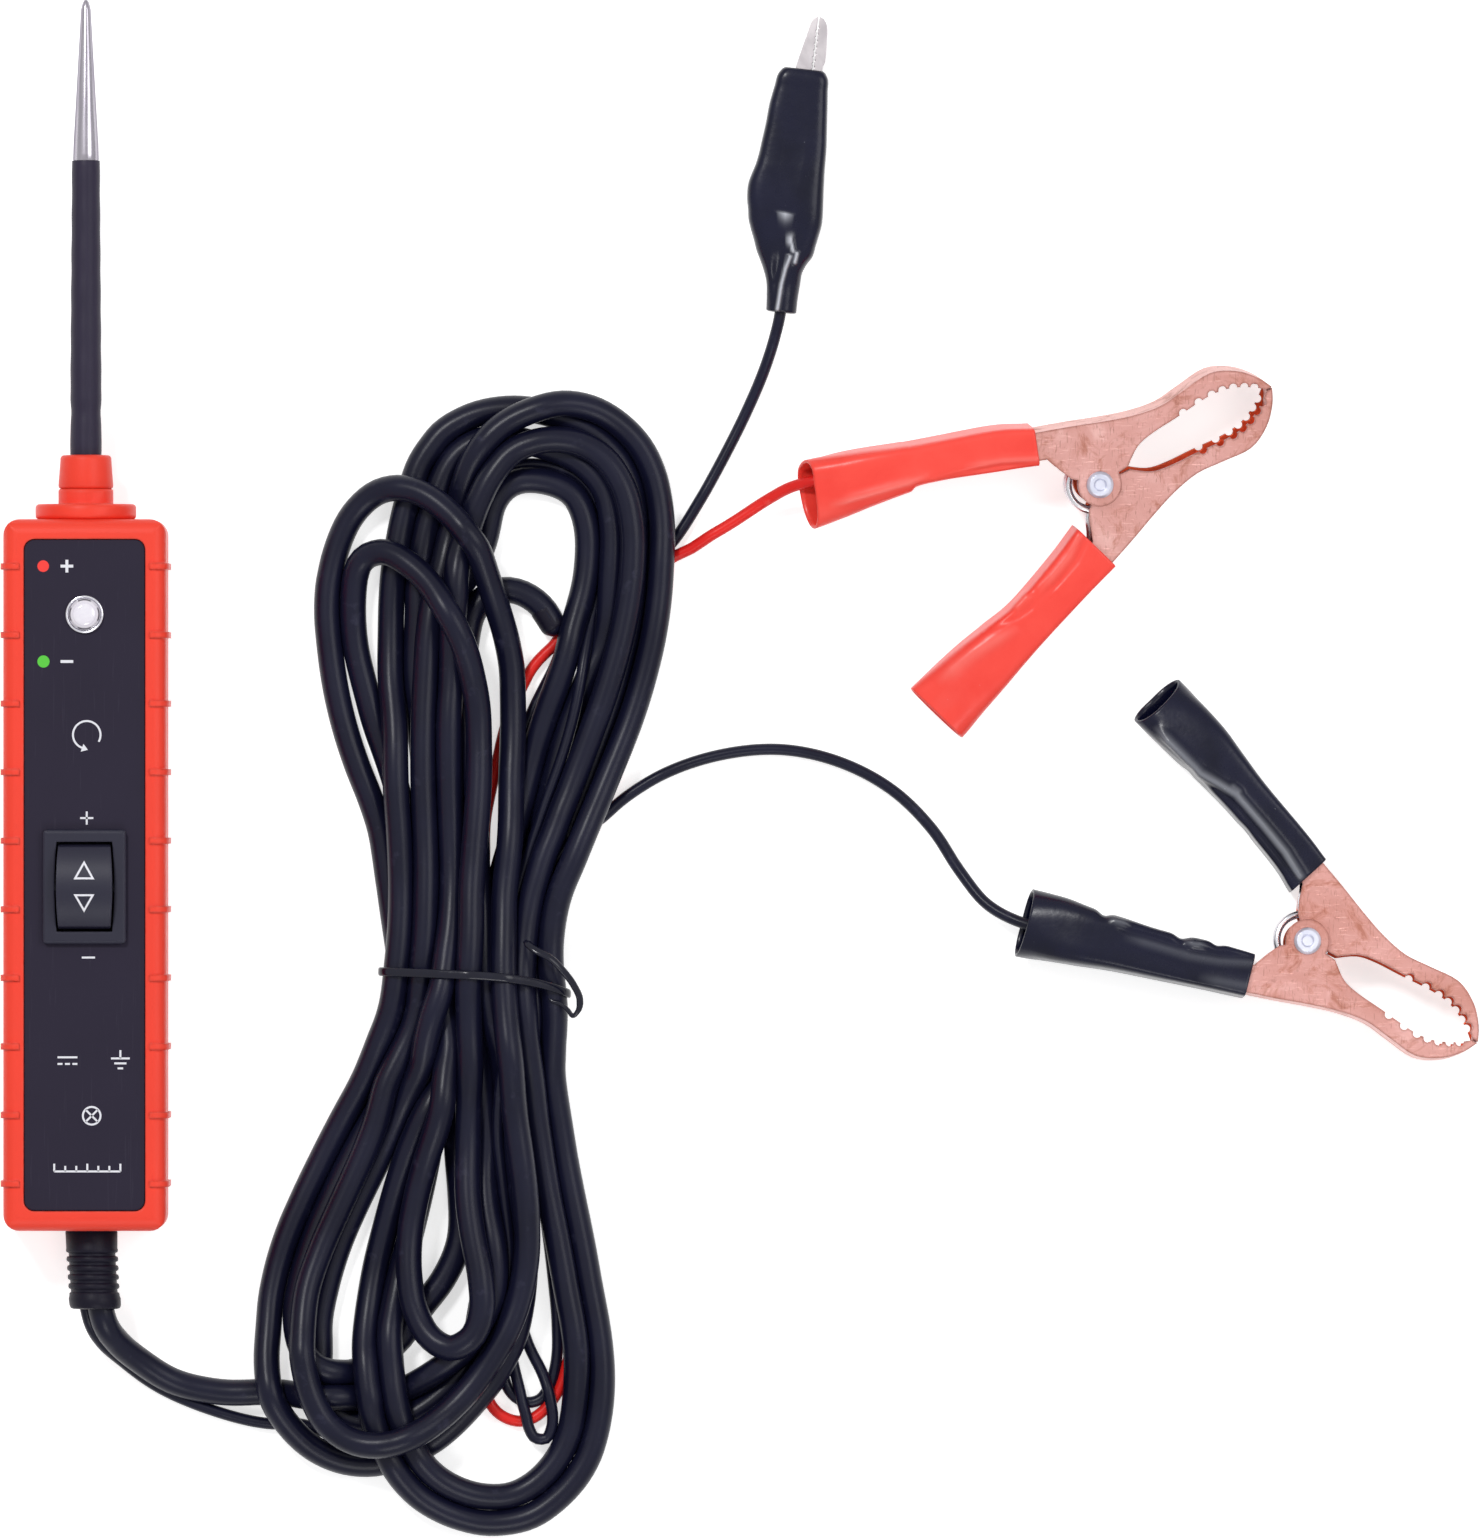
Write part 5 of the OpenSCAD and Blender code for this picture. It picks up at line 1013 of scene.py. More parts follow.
class TESTER_OT_tie(bpy.types.Operator):
    """Build the twist tie: a band that fits the waist of the hank, and its twisted tail"""

    bl_idname = "tester.tie"
    bl_label = "Twist tie"

    def execute(self, context):
        line = waist_band(0.5)
        path = np.column_stack([line[:, 0], band_y(line[:, 0]), line[:, 1]]) * MM
        t = unit(np.roll(path, -1, axis=0) - np.roll(path, 1, axis=0))
        out = np.cross(t, (0, 1, 0))
        angle = around(16)[None, :, None]
        c, s = (np.sign(k) * np.abs(k) ** 0.7 for k in (np.cos(angle), np.sin(angle)))
        ring = (path[:, None] + BAND_WIDE * MM * c * np.array([0, 1, 0])
                + BAND_THICK * MM * s * out[:, None])
        show(surface("tie_band", ring, ring_u=True), "tie", "root", "tie_black", "cable_tie")
        top = line[:, 1].max()
        tail = evened(smooth_curve([(x, y, top - low) for x, y, low in TAIL], 10), 0.25) * MM
        wide = np.interp(np.linspace(0, 1, len(tail)), [0, 0.03, 0.66, 0.74, 0.97, 1],
                         [0.4, 0.72, 0.66, 0.45, 0.32, 0.1]) * MM
        nub = [(84.2, band_y(84.2) - 0.2, 2.2), (85.2, -61.1, 2.4), (86.1, -61, 2.2)]
        nub = evened(smooth_curve(nub, 6), 0.2) * MM
        narrow = np.linspace(0.75, 0.2, len(nub)) * MM
        for name, rings in (
                ("tie_tail", swept(tail, wide, wide * 0.55, 14, (0.1, 0.2, 1), 0.25, 2.6)),
                ("tie_nub", swept(nub, narrow, narrow * 0.6, 12, power=2.6))):
            show(surface(name, rings), "tie", "root", "tie_black")
        return {"FINISHED"}


# ---- Clips

# A battery clip's handle, in its own frame: where its centre line starts, and its angle.
HANDLE_ROOT = np.array([-5.4, 11.2])
HANDLE_ANGLE = 163.3
# Its grip: length, wall, and the share of the length by which the rims stand out.
GRIP_L, GRIP_T, GRIP_RIM = 41.8, 0.6, 0.003
# A grip's rings: their shares of its length, and what each adds to the half height over the
# handle where that half height is GRIP_HIGH. Lower grips add less, in proportion.
GRIP_RINGS = (0, 0.2, 0.4, 0.58, 0.72, 0.86, 1)
GRIP_LIFT = (0.5, 0.5, 0.5, 0.5, 0.2, -0.6, -1.6)
GRIP_HIGH = 5.5
# Points along a grip's outer wall, along its inner wall, and round it.
OUTER_ROWS, INNER_ROWS, GRIP_ROUND = 130, 60, 104

# Each grip: its clip, its side, where it starts, its handle's angle, its half height over the
# handle, how much its mouth slants, and its bore's reach at the rings, outside and inside of
# the handle's centre line.
GRIPS = {
    "red_wire": ("red", 1, 1.5, 159.3, GRIP_HIGH, 0.27,
                 (2.9, 3.6, 3.3, 3.2, 3.3, 3.2, 2.7), (2.9, 2.9, 2.95, 4.3, 5.6, 7.1, 8.3)),
    "red_lever": ("red", -1, 0.3, HANDLE_ANGLE, 4.4, 0.05,
                  (2.9, 2.9, 3.1, 3.5, 4, 4.4, 4.6), (5.8, 4.8, 4.3, 5.1, 5.9, 6.4, 6.6)),
    "black_wire": ("black", 1, 0.3, HANDLE_ANGLE, GRIP_HIGH, 0.12,
                   (2.8, 3.1, 3.5, 3.9, 4.5, 5, 5.3), (4, 4.3, 4.1, 4.6, 5, 5.7, 5.6)),
    "black_lever": ("black", -1, 0.3, HANDLE_ANGLE, 4.4, 0.35,
                    (2.9, 3.6, 4, 4.8, 5.5, 5.6, 5.2), (4.5, 3.3, 2.95, 3.1, 3.6, 4, 4.1)),
}

# Folds of each grip: height and width in millimetres, whether it is on the upper side alone,
# and its line: distance from the handle's root, and reach outside of the centre line.
FOLDS = {
    "red_wire": (
        (0.35, 0.7, True, (1, -2), (8.2, -1.3), (15, -1.4)),
        (-0.3, 0.6, True, (2, -3), (9, -2.6), (20.5, -3)),
        (0.5, 0.8, True, (22, -2.2), (29, -3), (36.4, -4), (41, -4.9)),
    ),
    "red_lever": (
        (-0.35, 0.6, True, (0.6, -3.9), (4.6, -2.5), (9.9, -2.2), (14.2, -2.3)),
        (0.35, 0.7, True, (1, -5.2), (5, -3.9), (10, -3.5), (13, -3.7)),
        (-0.32, 0.6, True, (13.2, -5), (14.1, -3.3), (16.4, -2.6), (19, -3.1), (25.4, -5.5)),
        (0.35, 0.7, True, (15.6, -4.6), (18, -4.6)),
        (0.4, 1.3, True, (21, -2), (30, -4.2), (38, -5)),
    ),
    "black_wire": (
        (-0.4, 0.5, True, (0.5, -3.9), (6.4, -2.8), (11.9, -2.4), (14, -3.5)),
        (-0.4, 0.5, True, (13.2, -2.4), (17.6, -2.8), (23.3, -2.9), (28.3, -4.2)),
        (0.55, 0.6, True, (13.1, -3.6), (11.6, -3.4), (9.6, -3.7)),
        (0.55, 0.6, True, (27.7, -4.4), (26.3, -4), (24, -4.1)),
        (0.22, 1.1, True, (1, -2.6), (6.4, -1.6), (12, -1.2), (18, -1.5), (24, -1.7)),
        (-0.7, 1.1, False, (7.4, -5.6), (7.4, -5.2)), (-1, 1.3, False, (14, -5.6), (14, -5)),
        (-0.8, 1.2, False, (28.6, -6.4), (28.6, -5.6)),
        (0.25, 1.2, True, (-0.3, 1.5), (9, 2.1)),
    ),
    "black_lever": (
        (0.9, 0.9, True, (1.2, -2.1), (6.3, -1.2), (11.9, -0.9), (19.9, -0.7), (23.8, -1.7),
         (27.4, -2.7), (32.7, -2.8), (39.8, -3)),
        (-0.35, 0.6, True, (1, -3.2), (11.4, -2.4), (17.7, -2.1), (22.7, -2.6), (26.5, -4),
         (38.2, -4.2)),
        (0.4, 0.6, True, (21.5, -0.1), (20.1, 0.1)),
        (-0.3, 1.3, False, (29, -4.6), (29, -4)), (-0.25, 1.6, False, (14, -4.4), (14, -4)),
    ),
}


def off_line(x, y, line):
    """Distance of each point from a line through several points."""
    line = np.asarray(line, float)
    found = []
    for a, b in zip(line[:-1], line[1:]):
        dx, dy = b - a
        t = np.clip(((x - a[0]) * dx + (y - a[1]) * dy) / ((b - a) ** 2).sum(), 0, 1)
        found.append(np.hypot(x - a[0] - t * dx, y - a[1] - t * dy))
    return np.min(found, axis=0)


def faint_ends(s, line):
    """1 along a fold, falling to 0 over its last millimetres, but not where it starts at the
    grip's own edge."""
    first, last = min(p[0] for p in line), max(p[0] for p in line)
    soft = min(4, 0.5 + (last - first) / 3)
    start = np.clip((s - first + 0.6) / soft, 0, 1) if first > 1.5 and soft > 1.5 else 1
    return start * (np.clip((last + 0.6 - s) / soft, 0, 1) if soft > 1.5 else 1)


def store_painted_highlight(skin, share):
    """Stores the painted highlight on the vinyl's raised folds at each point, from 0 to 1, as
    crease.
    """
    made = skin.data.attributes.new("crease", "FLOAT", "POINT")
    made.data.foreach_set("value", share.ravel())


def grip(name):
    """A vinyl grip: an outer and an inner wall along the handle, joined round both rims, and
    moved in and out together by the folds. Its section is boxy over the handle and turns to an
    oval at the mouth: (|x| / deep)^p + (|z| / high)^p = 1, where p falls from 12 to 2.4."""
    clip, side, start, lean, tall, slant, outside, inside = GRIPS[name]
    at, turn, up = CLIPS[clip]
    t = np.concatenate([np.linspace(0, 1, OUTER_ROWS), [1 + GRIP_RIM],
                        np.linspace(1, 0, INNER_ROWS), [-GRIP_RIM]])
    grow = np.concatenate([np.full(OUTER_ROWS, GRIP_T), [GRIP_T / 2],
                           np.zeros(INNER_ROWS), [GRIP_T / 2]])
    t, grow = t[:, None], grow[:, None]
    lift = np.multiply(GRIP_LIFT, tall / GRIP_HIGH) + tall
    rings = smooth_curve(np.column_stack([GRIP_RINGS, outside, inside, lift]), 16)
    out, within, high = (np.interp(np.clip(t, 0, 1), rings[:, 0], k) + grow
                         for k in rings.T[1:])
    angle = around(GRIP_ROUND)[None]
    c, v = np.cos(angle), np.sin(angle)
    power = 12 - 9.6 * np.clip(t, 0, 1)
    far = (np.abs(c) ** power + np.abs(v) ** power) ** (1 / power)
    deep, rise = np.where(c > 0, out, within) * c / far, high * v / far
    s = start + t * GRIP_L
    upper = np.clip(0.3 + 1.6 * rise * up / high, 0, 1)
    fold, pale = np.zeros(deep.shape), np.zeros(deep.shape)
    for height, width, above, *line in FOLDS[name]:
        near = off_line(s, deep, line)
        faded = height * faint_ends(s, line)
        fold = fold + faded * bell(near, 0, width) * (upper if above else 1)
        # Raised folds on the upper side get a painted highlight, strongest on top.
        if above and height > 0:
            pale = pale + 0.4 * faded * bell(near, 0, 0.7 * width) * upper**2
    fold = fold + bell(t, 1, 0.1) * (0.3 * np.sin(2 * angle + 0.8) + 0.2 * np.sin(3 * angle))
    size = np.hypot(deep, rise)
    flat = np.where(rise * up > 0.5 * high, np.clip(np.abs(deep) / 2, 0, 1), 1)
    deep, rise = deep + fold * flat * deep / size, rise + fold * rise / size
    s = s - slant * rise * up * np.clip(t, 0, 1) ** 6
    along = np.array([np.cos(np.radians(lean)), np.sin(np.radians(lean))])
    x = HANDLE_ROOT[0] + along[0] * s + along[1] * deep
    y = side * (HANDLE_ROOT[1] + along[1] * s - along[0] * deep)
    grid = placed(np.stack([x, y, rise], axis=-1), at, turn)
    sleeve = surface(name + "_grip_sleeve", grid, ring_u=True)
    store_painted_highlight(sleeve, pale * (grow > 0.5))
    return sleeve


class TESTER_OT_grips(bpy.types.Operator):
    """Build the four vinyl grips of the battery clips, with their folds and open mouths"""

    bl_idname = "tester.grips"
    bl_label = "Clip grips"

    def execute(self, context):
        for name, (clip, side, *_) in GRIPS.items():
            show(grip(name), clip + "_vinyl", "root" if side > 0 else clip + "_lever",
                 clip + "_rubber", name + "_grip")
        return {"FINISHED"}


# Springs of the battery clips and of the alligator clip, in millimetres: the wire's diameter,
# the coil's rise in a turn, its turns, and its radius.
WIRE, PITCH, TURNS, COIL_R = 1.3, 1.12 * 1.3, 3.5, 4.6
GATOR_WIRE, GATOR_PITCH, GATOR_TURNS, GATOR_COIL_R = 0.6, 0.69, 2.7, 1.4


def coil_path(first, turns, r, rise, centre, ends, steps=28):
    """A helix about Z with a straight leg to each end, in millimetres: the legs leave it
    through a short smooth curve."""
    a = np.radians(first) + np.linspace(0, 2 * np.pi * turns, int(steps * turns) + 1)
    helix = np.column_stack([centre[0] + r * np.cos(a), centre[1] + r * np.sin(a),
                             (a - a.mean()) / (2 * np.pi) * rise])
    start = [ends[0], (np.add(ends[0], helix[2]) / 2).tolist(), helix[2], helix[5]]
    stop = [helix[-6], helix[-3], (np.add(ends[1], helix[-3]) / 2).tolist(), ends[1]]
    return np.concatenate([smooth_curve(start, 8)[:-8], helix[4:-4], smooth_curve(stop, 8)[8:]])


class TESTER_OT_springs(bpy.types.Operator):
    """Build the round wire springs of the three clips"""

    bl_idname = "tester.springs"
    bl_label = "Springs"

    def execute(self, context):
        lean = np.radians(HANDLE_ANGLE)
        c, s = np.cos(lean), np.sin(lean)
        leg = HANDLE_ROOT + [3 * c + 0.4 * s, 3 * s - 0.4 * c]
        low = -PITCH * TURNS / 2
        for clip, (at, turn, _) in CLIPS.items():
            path = coil_path(215, TURNS, COIL_R, PITCH, (-0.9, 0),
                             ((leg[0], -leg[1], low + 0.2), (leg[0], leg[1], -low - 0.2)))
            axis = placed([0, 0, 1], (0, 0, 0), turn) / MM
            path = placed(evened(path, 0.5), at, turn)
            wire = tube(clip + "_coil", path, WIRE / 2 * MM, 14, axis)
            bend = placed([(-1, 3.6, 0), (-1, -3.6, 0)], at, turn)
            show(wire, "steel", ("root", clip + "_lever", *bend), "steel", clip + "_spring")
        path = coil_path(250, GATOR_TURNS, GATOR_COIL_R, GATOR_PITCH, (-0.2, 0),
                         ((-7, -1.6, -0.93), (-7, 4.6, 0.93)))
        path = placed(evened(path, 0.25), GATOR_AT, GATOR_TURN)
        bend = placed([(-2.5, -0.6, 0), (-2.5, 2.6, 0)], GATOR_AT, GATOR_TURN)
        show(tube("gator_coil", path, GATOR_WIRE / 2 * MM, 10), "steel",
             ("root", "gator_lever", *bend), "steel", "gator_spring")
        return {"FINISHED"}


# The boot's rings: distance from the pin, middle, half width and half height.
BOOT_RINGS = np.array([
    (10.4, 1.6, 3.96, 4.1), (9.6, 1.61, 4.49, 4.3), (7, 1.71, 4.9, 4.35), (4, 1.81, 5.3, 4.4),
    (0, 1.78, 5.63, 4.45), (-3, 1.81, 5.93, 4.5), (-6, 1.92, 6.17, 4.55),
    (-7.5, 2.04, 6.34, 4.6), (-9, 2.21, 6.61, 4.6), (-11, 2.38, 6.91, 4.6),
    (-13.5, 2.25, 6.99, 4.58), (-16, 1.93, 6.83, 4.5), (-17.5, 1.83, 6.68, 4.42),
    (-19, 1.7, 6.29, 4.3), (-21, 1.46, 5.7, 4.15), (-23, 1.27, 5.13, 3.9),
    (-24.5, 1.32, 4.31, 3.6), (-26, 1.25, 3.64, 3.3), (-28.5, 0.88, 3.08, 2.9),
    (-31, 0.77, 2.86, 2.8), (-33.5, 0.65, 2.76, 2.7),
])
# Its pinched creases as seen from above: X and Y of the clip's own frame.
BOOT_CREASES = (
    ((-15.9, 1.8), (-18.2, 1.2), (-22.4, -0.2)), ((-22.8, -1), (-24.4, -0.8)),
    ((-23.5, 0.2), (-25.8, 0.8), (-28.6, 1.2), (-31.4, 1.3), (-33.2, 1.4)),
)
# Its dents: depth, and middle and width along the clip and across it.
BOOT_DENTS = ((0.3, (-19, 3.2), (-0.6, 1.5)), (0.7, (-27, 3.4), (2.2, 1)),
              (0.35, (-6, 7), (2.0, 0.8)))


def boot_wall(ring, grow, angle):
    """Points round one ring of the boot: a rounded square near the jaws that turns to an oval
    at the neck."""
    t = np.clip(-ring[:, :1] / 28.5, 0, 1)
    power = 2 / (6 - 3.8 * t * t)
    c, s = np.cos(angle), np.sin(angle)
    y = ring[:, 1:2] + (ring[:, 2:3] + grow) * np.sign(c) * np.abs(c) ** power
    z = (ring[:, 3:4] + grow) * np.sign(s) * np.abs(s) ** power
    return np.stack([np.broadcast_to(ring[:, :1], y.shape), y, z], axis=-1)


class TESTER_OT_boot(bpy.types.Operator):
    """Build the soft boot of the alligator clip, with the pinched creases over its neck"""

    bl_idname = "tester.boot"
    bl_label = "Alligator boot"

    def execute(self, context):
        rings = evened(smooth_curve(BOOT_RINGS, 12), 0.25)
        angle = around(180)[None]
        outer = boot_wall(rings, 0.0, angle)
        inner = boot_wall(rings[::-3], -0.8, angle)
        lip = boot_wall(rings[[0, -1]] + [[0.3, 0, 0, 0], [-0.2, 0, 0, 0]], -0.4, angle)
        grid = np.concatenate([outer, lip[1:], inner, lip[:1]])
        x, y, z = np.moveaxis(grid, -1, 0)
        top = np.clip(z / 2, 0, 1)
        crease = sum(0.5 * bell(off_line(x, y, line), 0, 0.38) for line in BOOT_CREASES)
        dent = sum(deep * bell(x, *long) * bell(y, *across) for deep, long, across in BOOT_DENTS)
        grid[..., 2] += top * (crease - dent)
        boot = surface("gator_boot_skin", placed(grid, GATOR_AT, GATOR_TURN), ring_u=True)
        # Painted highlight along the ridges of the creases, on the boot's top.
        store_painted_highlight(boot, np.clip(1.1 * (crease * top / 0.5) ** 1.6, 0, 1))
        bend = placed([(0, 0, 0), (1.2, 5.9, 0)], GATOR_AT, GATOR_TURN)
        show(boot, "black_vinyl", ("root", "gator_lever", *bend), "black_rubber", "gator_boot")
        return {"FINISHED"}


# ---- Probe, lamp and marks

# Radius of the bore through the nose, and the strain relief's length from the wall.
BORE = 2.25
RELIEF_L = 14.3
# The rim that the shells hold, on the nose and on the strain relief alike: radius, and distance
# out from the wall. It starts at INNER_FACE, inside of the wall.
INNER_FACE = -3.8
HELD_RIM = ((7, INNER_FACE), (7, -2.05), (5.9, -2.05), (5.9, 0))
# Radius of what closes a turned piece on its axis.
CLOSED = 0.02


def turned(name, half, y, look, slot, node, **form):
    """A turned piece on the probe's axis, from its half section, measured from that Y."""
    piece = lathe(name, half, (0, y, AXIS_Z), **form)
    return show(piece, look, "root", slot, node)


class TESTER_OT_probe(bpy.types.Operator):
    """Build the turned nose, the rod, its sleeve and the ribbed strain relief"""

    bl_idname = "tester.probe"
    bl_label = "Probe and strain relief"

    def execute(self, context):
        nose = [(BORE, INNER_FACE), *HELD_RIM, *arc((8.45, 0.7), 0.7, -90, 0),
                *arc((8.45, 2.1), 0.7, 0, 90), (5, 2.8), (5, 5.1),
                *arc((4.5, 5.1), 0.5, 0, 90, 5), (BORE, 5.6)]
        turned("nose_ring", nose, NOSE_Y, "housing", "housing_red", "nose_flange", hollow=True)
        boss = [(BORE, 0), (4.6, 0), *arc((4.5, 0.5), 0.5, -90, 0, 4), (4.65, 5.2),
                *arc((3.95, 5.4), 0.7, 0, 90), (BORE, 6.2)]
        turned("nose_boss", boss, NECK_Y, "housing", "housing_red", "probe_collar", hollow=True)
        step = SLEEVE_Y - NECK_Y
        reach = TIP_Y - NECK_Y
        rod = [(CLOSED, -7.1), (2.2, -7.1), (2.2, step), (2.33, step + 0.3), (2.3, step + 1.4),
               (2.25, step + 3), (0.88, reach - 1.9), (0.7, reach - 1.1), (0.5, reach - 0.5),
               (0.24, reach - 0.12), (CLOSED, reach)]
        turned("probe_needle", rod, NECK_Y, "rod", "steel", "probe_rod", sharp=30)
        y = np.linspace(0, 53.3, 60)
        wide = (2.85 - 0.3 * np.clip((y - 10) / 40, 0, 1) - 0.2 * bell(y, 7.8, 1.5)
                + 0.03 * np.sin(y * 0.9))
        skin = [(2.22, 0.05), *zip(wide, y), (2.5, 53.42), (2.3, 53.4), (2.22, 53.3)]
        turned("probe_skin", skin, COLLAR_Y, "sleeve", "sleeve_black", "probe_sleeve", hollow=True)
        half = [(CLOSED, INNER_FACE), *HELD_RIM, (4.6, 0), (4.75, 0.3)]
        for k in range(5):
            r, at = 4.75 - 0.02 * k, 3.7 + 1.64 * k
            half += [(r - 0.08, at - 0.4), (r, at - 0.1), (r - 0.08, at + 0.25), (4.25, at + 0.45),
                     (4.25, at + 0.95), (r - 0.12, at + 1.12)]
        half += [(4.6, 11.9), (4.75, 12.4), (4.7, 13.6), (4.5, 14.1), (4.0, RELIEF_L),
                 (CLOSED, RELIEF_L)]
        r, at = np.array(half).T
        angle = around(72)
        lean = 0.75 * np.clip(at / RELIEF_L, 0, 1) ** 1.5
        grid = np.stack([1 + lean[:, None] + np.outer(r, np.cos(angle)),
                         TAIL_Y - np.broadcast_to(at[:, None], (len(r), len(angle))),
                         AXIS_Z + np.outer(r, np.sin(angle))], axis=-1) * MM
        show(surface("ribbed_relief", grid, sharp=35), "relief", "root", "black_rubber",
             "strain_relief")
        return {"FINISHED"}


class TESTER_OT_lamp(bpy.types.Operator):
    """Build the clear lamp and its bright ring"""

    bl_idname = "tester.lamp"
    bl_label = "Lamp"

    def execute(self, context):
        dome = [(CLOSED, -6.4), (2.85, -6.4), (2.85, -5.4), (2.43, -5.4), (2.43, 0.05),
                (2.94, 0.05), *arc((1.1, 0.4), 1.84, 0, 80, 14), (CLOSED, 2.3)]
        ring = [(2.5, -3.4), (2.95, -3.4), (2.95, 0), (3.44, 0), *arc((3.24, 0.6), 0.2, 0, 90),
                *arc((3.18, 0.6), 0.2, 90, 180), (2.98, 0.02), (2.5, 0.02)]
        at = (0, LAMP_Y, PANEL_Z)
        show(lathe("lamp_dome", dome, at, "z", 64, 50), "lens", "root", "lens", "lamp")
        show(lathe("lamp_bezel", ring, at, "z", 64, hollow=True), "ring", "root", "ring",
             "lamp_holder")
        return {"FINISHED"}


# The rocker's half length, the rise of its crown, and the crown's height over the hinge.
ROCKER_HALF, ROCKER_RISE, ROCKER_TOP = 7.2, 2.2, 5.2


def crown(y):
    """Height of the rocker's crown over each Y, in millimetres: the top of an arc of radius
    (half^2 + rise^2) / (2 rise)."""
    r = (ROCKER_HALF**2 + ROCKER_RISE**2) / (2 * ROCKER_RISE)
    return HINGE_Z + ROCKER_TOP - r + np.sqrt(r * r - (y - SWITCH_Y) ** 2)


# A mark's top over the face, and its foot under it.
INK, FOOT = 0.03, -0.06


def mark(name, outline, height, inner=None):
    """A thin printed mark: an outline on the face, or the band between two outlines. height
    gives the face's height over Y."""
    rows = [(outline, FOOT), (outline, INK)]
    if inner is not None:
        rows += [(inner, INK), (inner, FOOT)]
    grid = np.stack([np.column_stack([p, height(np.asarray(p)[:, 1]) + z]) for p, z in rows]) * MM
    return surface(name, grid, ring_u=inner is not None, sharp=30)


def level(z):
    """A flat face: the function that gives that one height for every Y."""
    return lambda y: np.full(len(y), z)


def between(corners, n=8):
    """Points along the straight sides of a closed outline, n to a side."""
    c = np.asarray(corners, float)
    t = np.linspace(0, 1, n, endpoint=False)[None, :, None]
    return (c[:, None] * (1 - t) + np.roll(c, -1, axis=0)[:, None] * t).reshape(-1, 2)


def circle(x, y, r, n=40):
    return np.column_stack([x + r * np.cos(around(n)), y + r * np.sin(around(n))])


def shrunk(corners, by):
    """A triangle's corners moved towards the middle of its inscribed circle, so that each side
    moves in by that distance. The circle's radius is twice the area over the sides' sum."""
    c = np.asarray(corners, float)
    side = np.linalg.norm(np.roll(c, -1, axis=0) - c, axis=1)
    inner = abs(np.cross(c[1] - c[0], c[2] - c[0])) / side.sum()
    weight = np.roll(side, -1)
    centre = (c * weight[:, None]).sum(axis=0) / weight.sum()
    return centre + (c - centre) * (1 - by / inner)


def stroke(name, line, height, wide=0.35):
    """A thin printed line of that width along points on the face."""
    line = np.asarray(line, float)
    t = unit(np.gradient(line, axis=0))
    across = np.column_stack([-t[:, 1], t[:, 0]]) * wide / 2
    rows = [(line + across * k, z) for k, z in ((-1, FOOT), (-1, INK), (1, INK), (1, FOOT))]
    grid = np.stack([np.column_stack([p, height(p[:, 1]) + z]) for p, z in rows], axis=1) * MM
    return surface(name, grid, sharp=30)


# Plain symbols on the panel as lines: a turning arrow, a plus, a minus, direct current, ground,
# the cross of a lamp, and a small scale.
SYMBOLS = {
    "turning_arrow": (arc((0.4, -14.7), 2.5, -30, 250, 40),),
    "plus_by_switch": (((-0.8, -29.8), (1.6, -29.8)), ((0.4, -31), (0.4, -28.6))),
    "minus_by_switch": (((-0.5, -55.1), (1.9, -55.1)),),
    "direct_current": (((-4.9, -73.2), (-1.3, -73.2)), ((-4.9, -74.4), (-4, -74.4)),
                       ((-3.55, -74.4), (-2.65, -74.4)), ((-2.2, -74.4), (-1.3, -74.4))),
    "ground": (((6.5, -71.9), (6.5, -73.4)), ((4.8, -73.4), (8.2, -73.4)),
               ((5.4, -74.3), (7.6, -74.3)), ((6, -75.2), (7, -75.2))),
    "lamp_cross": (((0.2, -82.7), (2.4, -84.9)), ((0.2, -84.9), (2.4, -82.7)),
                   arc((1.3, -83.8), 1.6, 0, 360, 40)),
    "scale": (((-5.5, -93.9), (6.5, -93.9)),
              *(((-5.5 + 2 * k, -93.9), (-5.5 + 2 * k, -92.9 + 0.4 * (k % 3 == 0)))
                for k in range(7))),
}


class TESTER_OT_marks(bpy.types.Operator):
    """Print the plain marks: two dots with plus and minus signs, a few plain symbols, and the
    rocker's two triangles"""

    bl_idname = "tester.marks"
    bl_label = "Printed marks"

    def execute(self, context):
        face = level(PANEL_Z)
        for name, x, y, r, look in (("red_dot", -7.5, 15.9, 1.05, "red_print"),
                                    ("green_dot", -7.45, -1.4, 1.1, "green_print")):
            show(mark(name, circle(x, y, r), face), look, "root", "panel_dark")
        w, h = 1.15, 0.26
        plus = [(-h, -w), (h, -w), (h, -h), (w, -h), (w, h), (h, h), (h, w), (-h, w), (-h, h),
                (-w, h), (-w, -h), (-h, -h)]
        minus = [(-w, -h), (w, -h), (w, h), (-w, h)]
        for name, sign, y in (("plus_sign", plus, 15.9), ("minus_sign", minus, -1.4)):
            show(mark(name, np.add(sign, (-3.2, y)), face), "white_print", "root", "panel_dark")
        for name, lines in SYMBOLS.items():
            for k, line in enumerate(lines):
                show(stroke(f"{name}_{k + 1}", line, face), "white_print", "root", "panel_dark")
        head = [(0.6, -17.43), (-0.2, -16.35), (-0.7, -17.75)]
        show(mark("arrow_head", between(head), face), "white_print", "root", "panel_dark")
        for name, tip, foot in (("front_triangle", -37.5, -40.9), ("rear_triangle", -46.9, -43.6)):
            corners = [(-1.9, foot), (1.9, foot), (0, tip)]
            show(mark(name, between(corners), crown, between(shrunk(corners, 0.36))),
                 "white_print", "rocker", "switch_black")
        return {"FINISHED"}


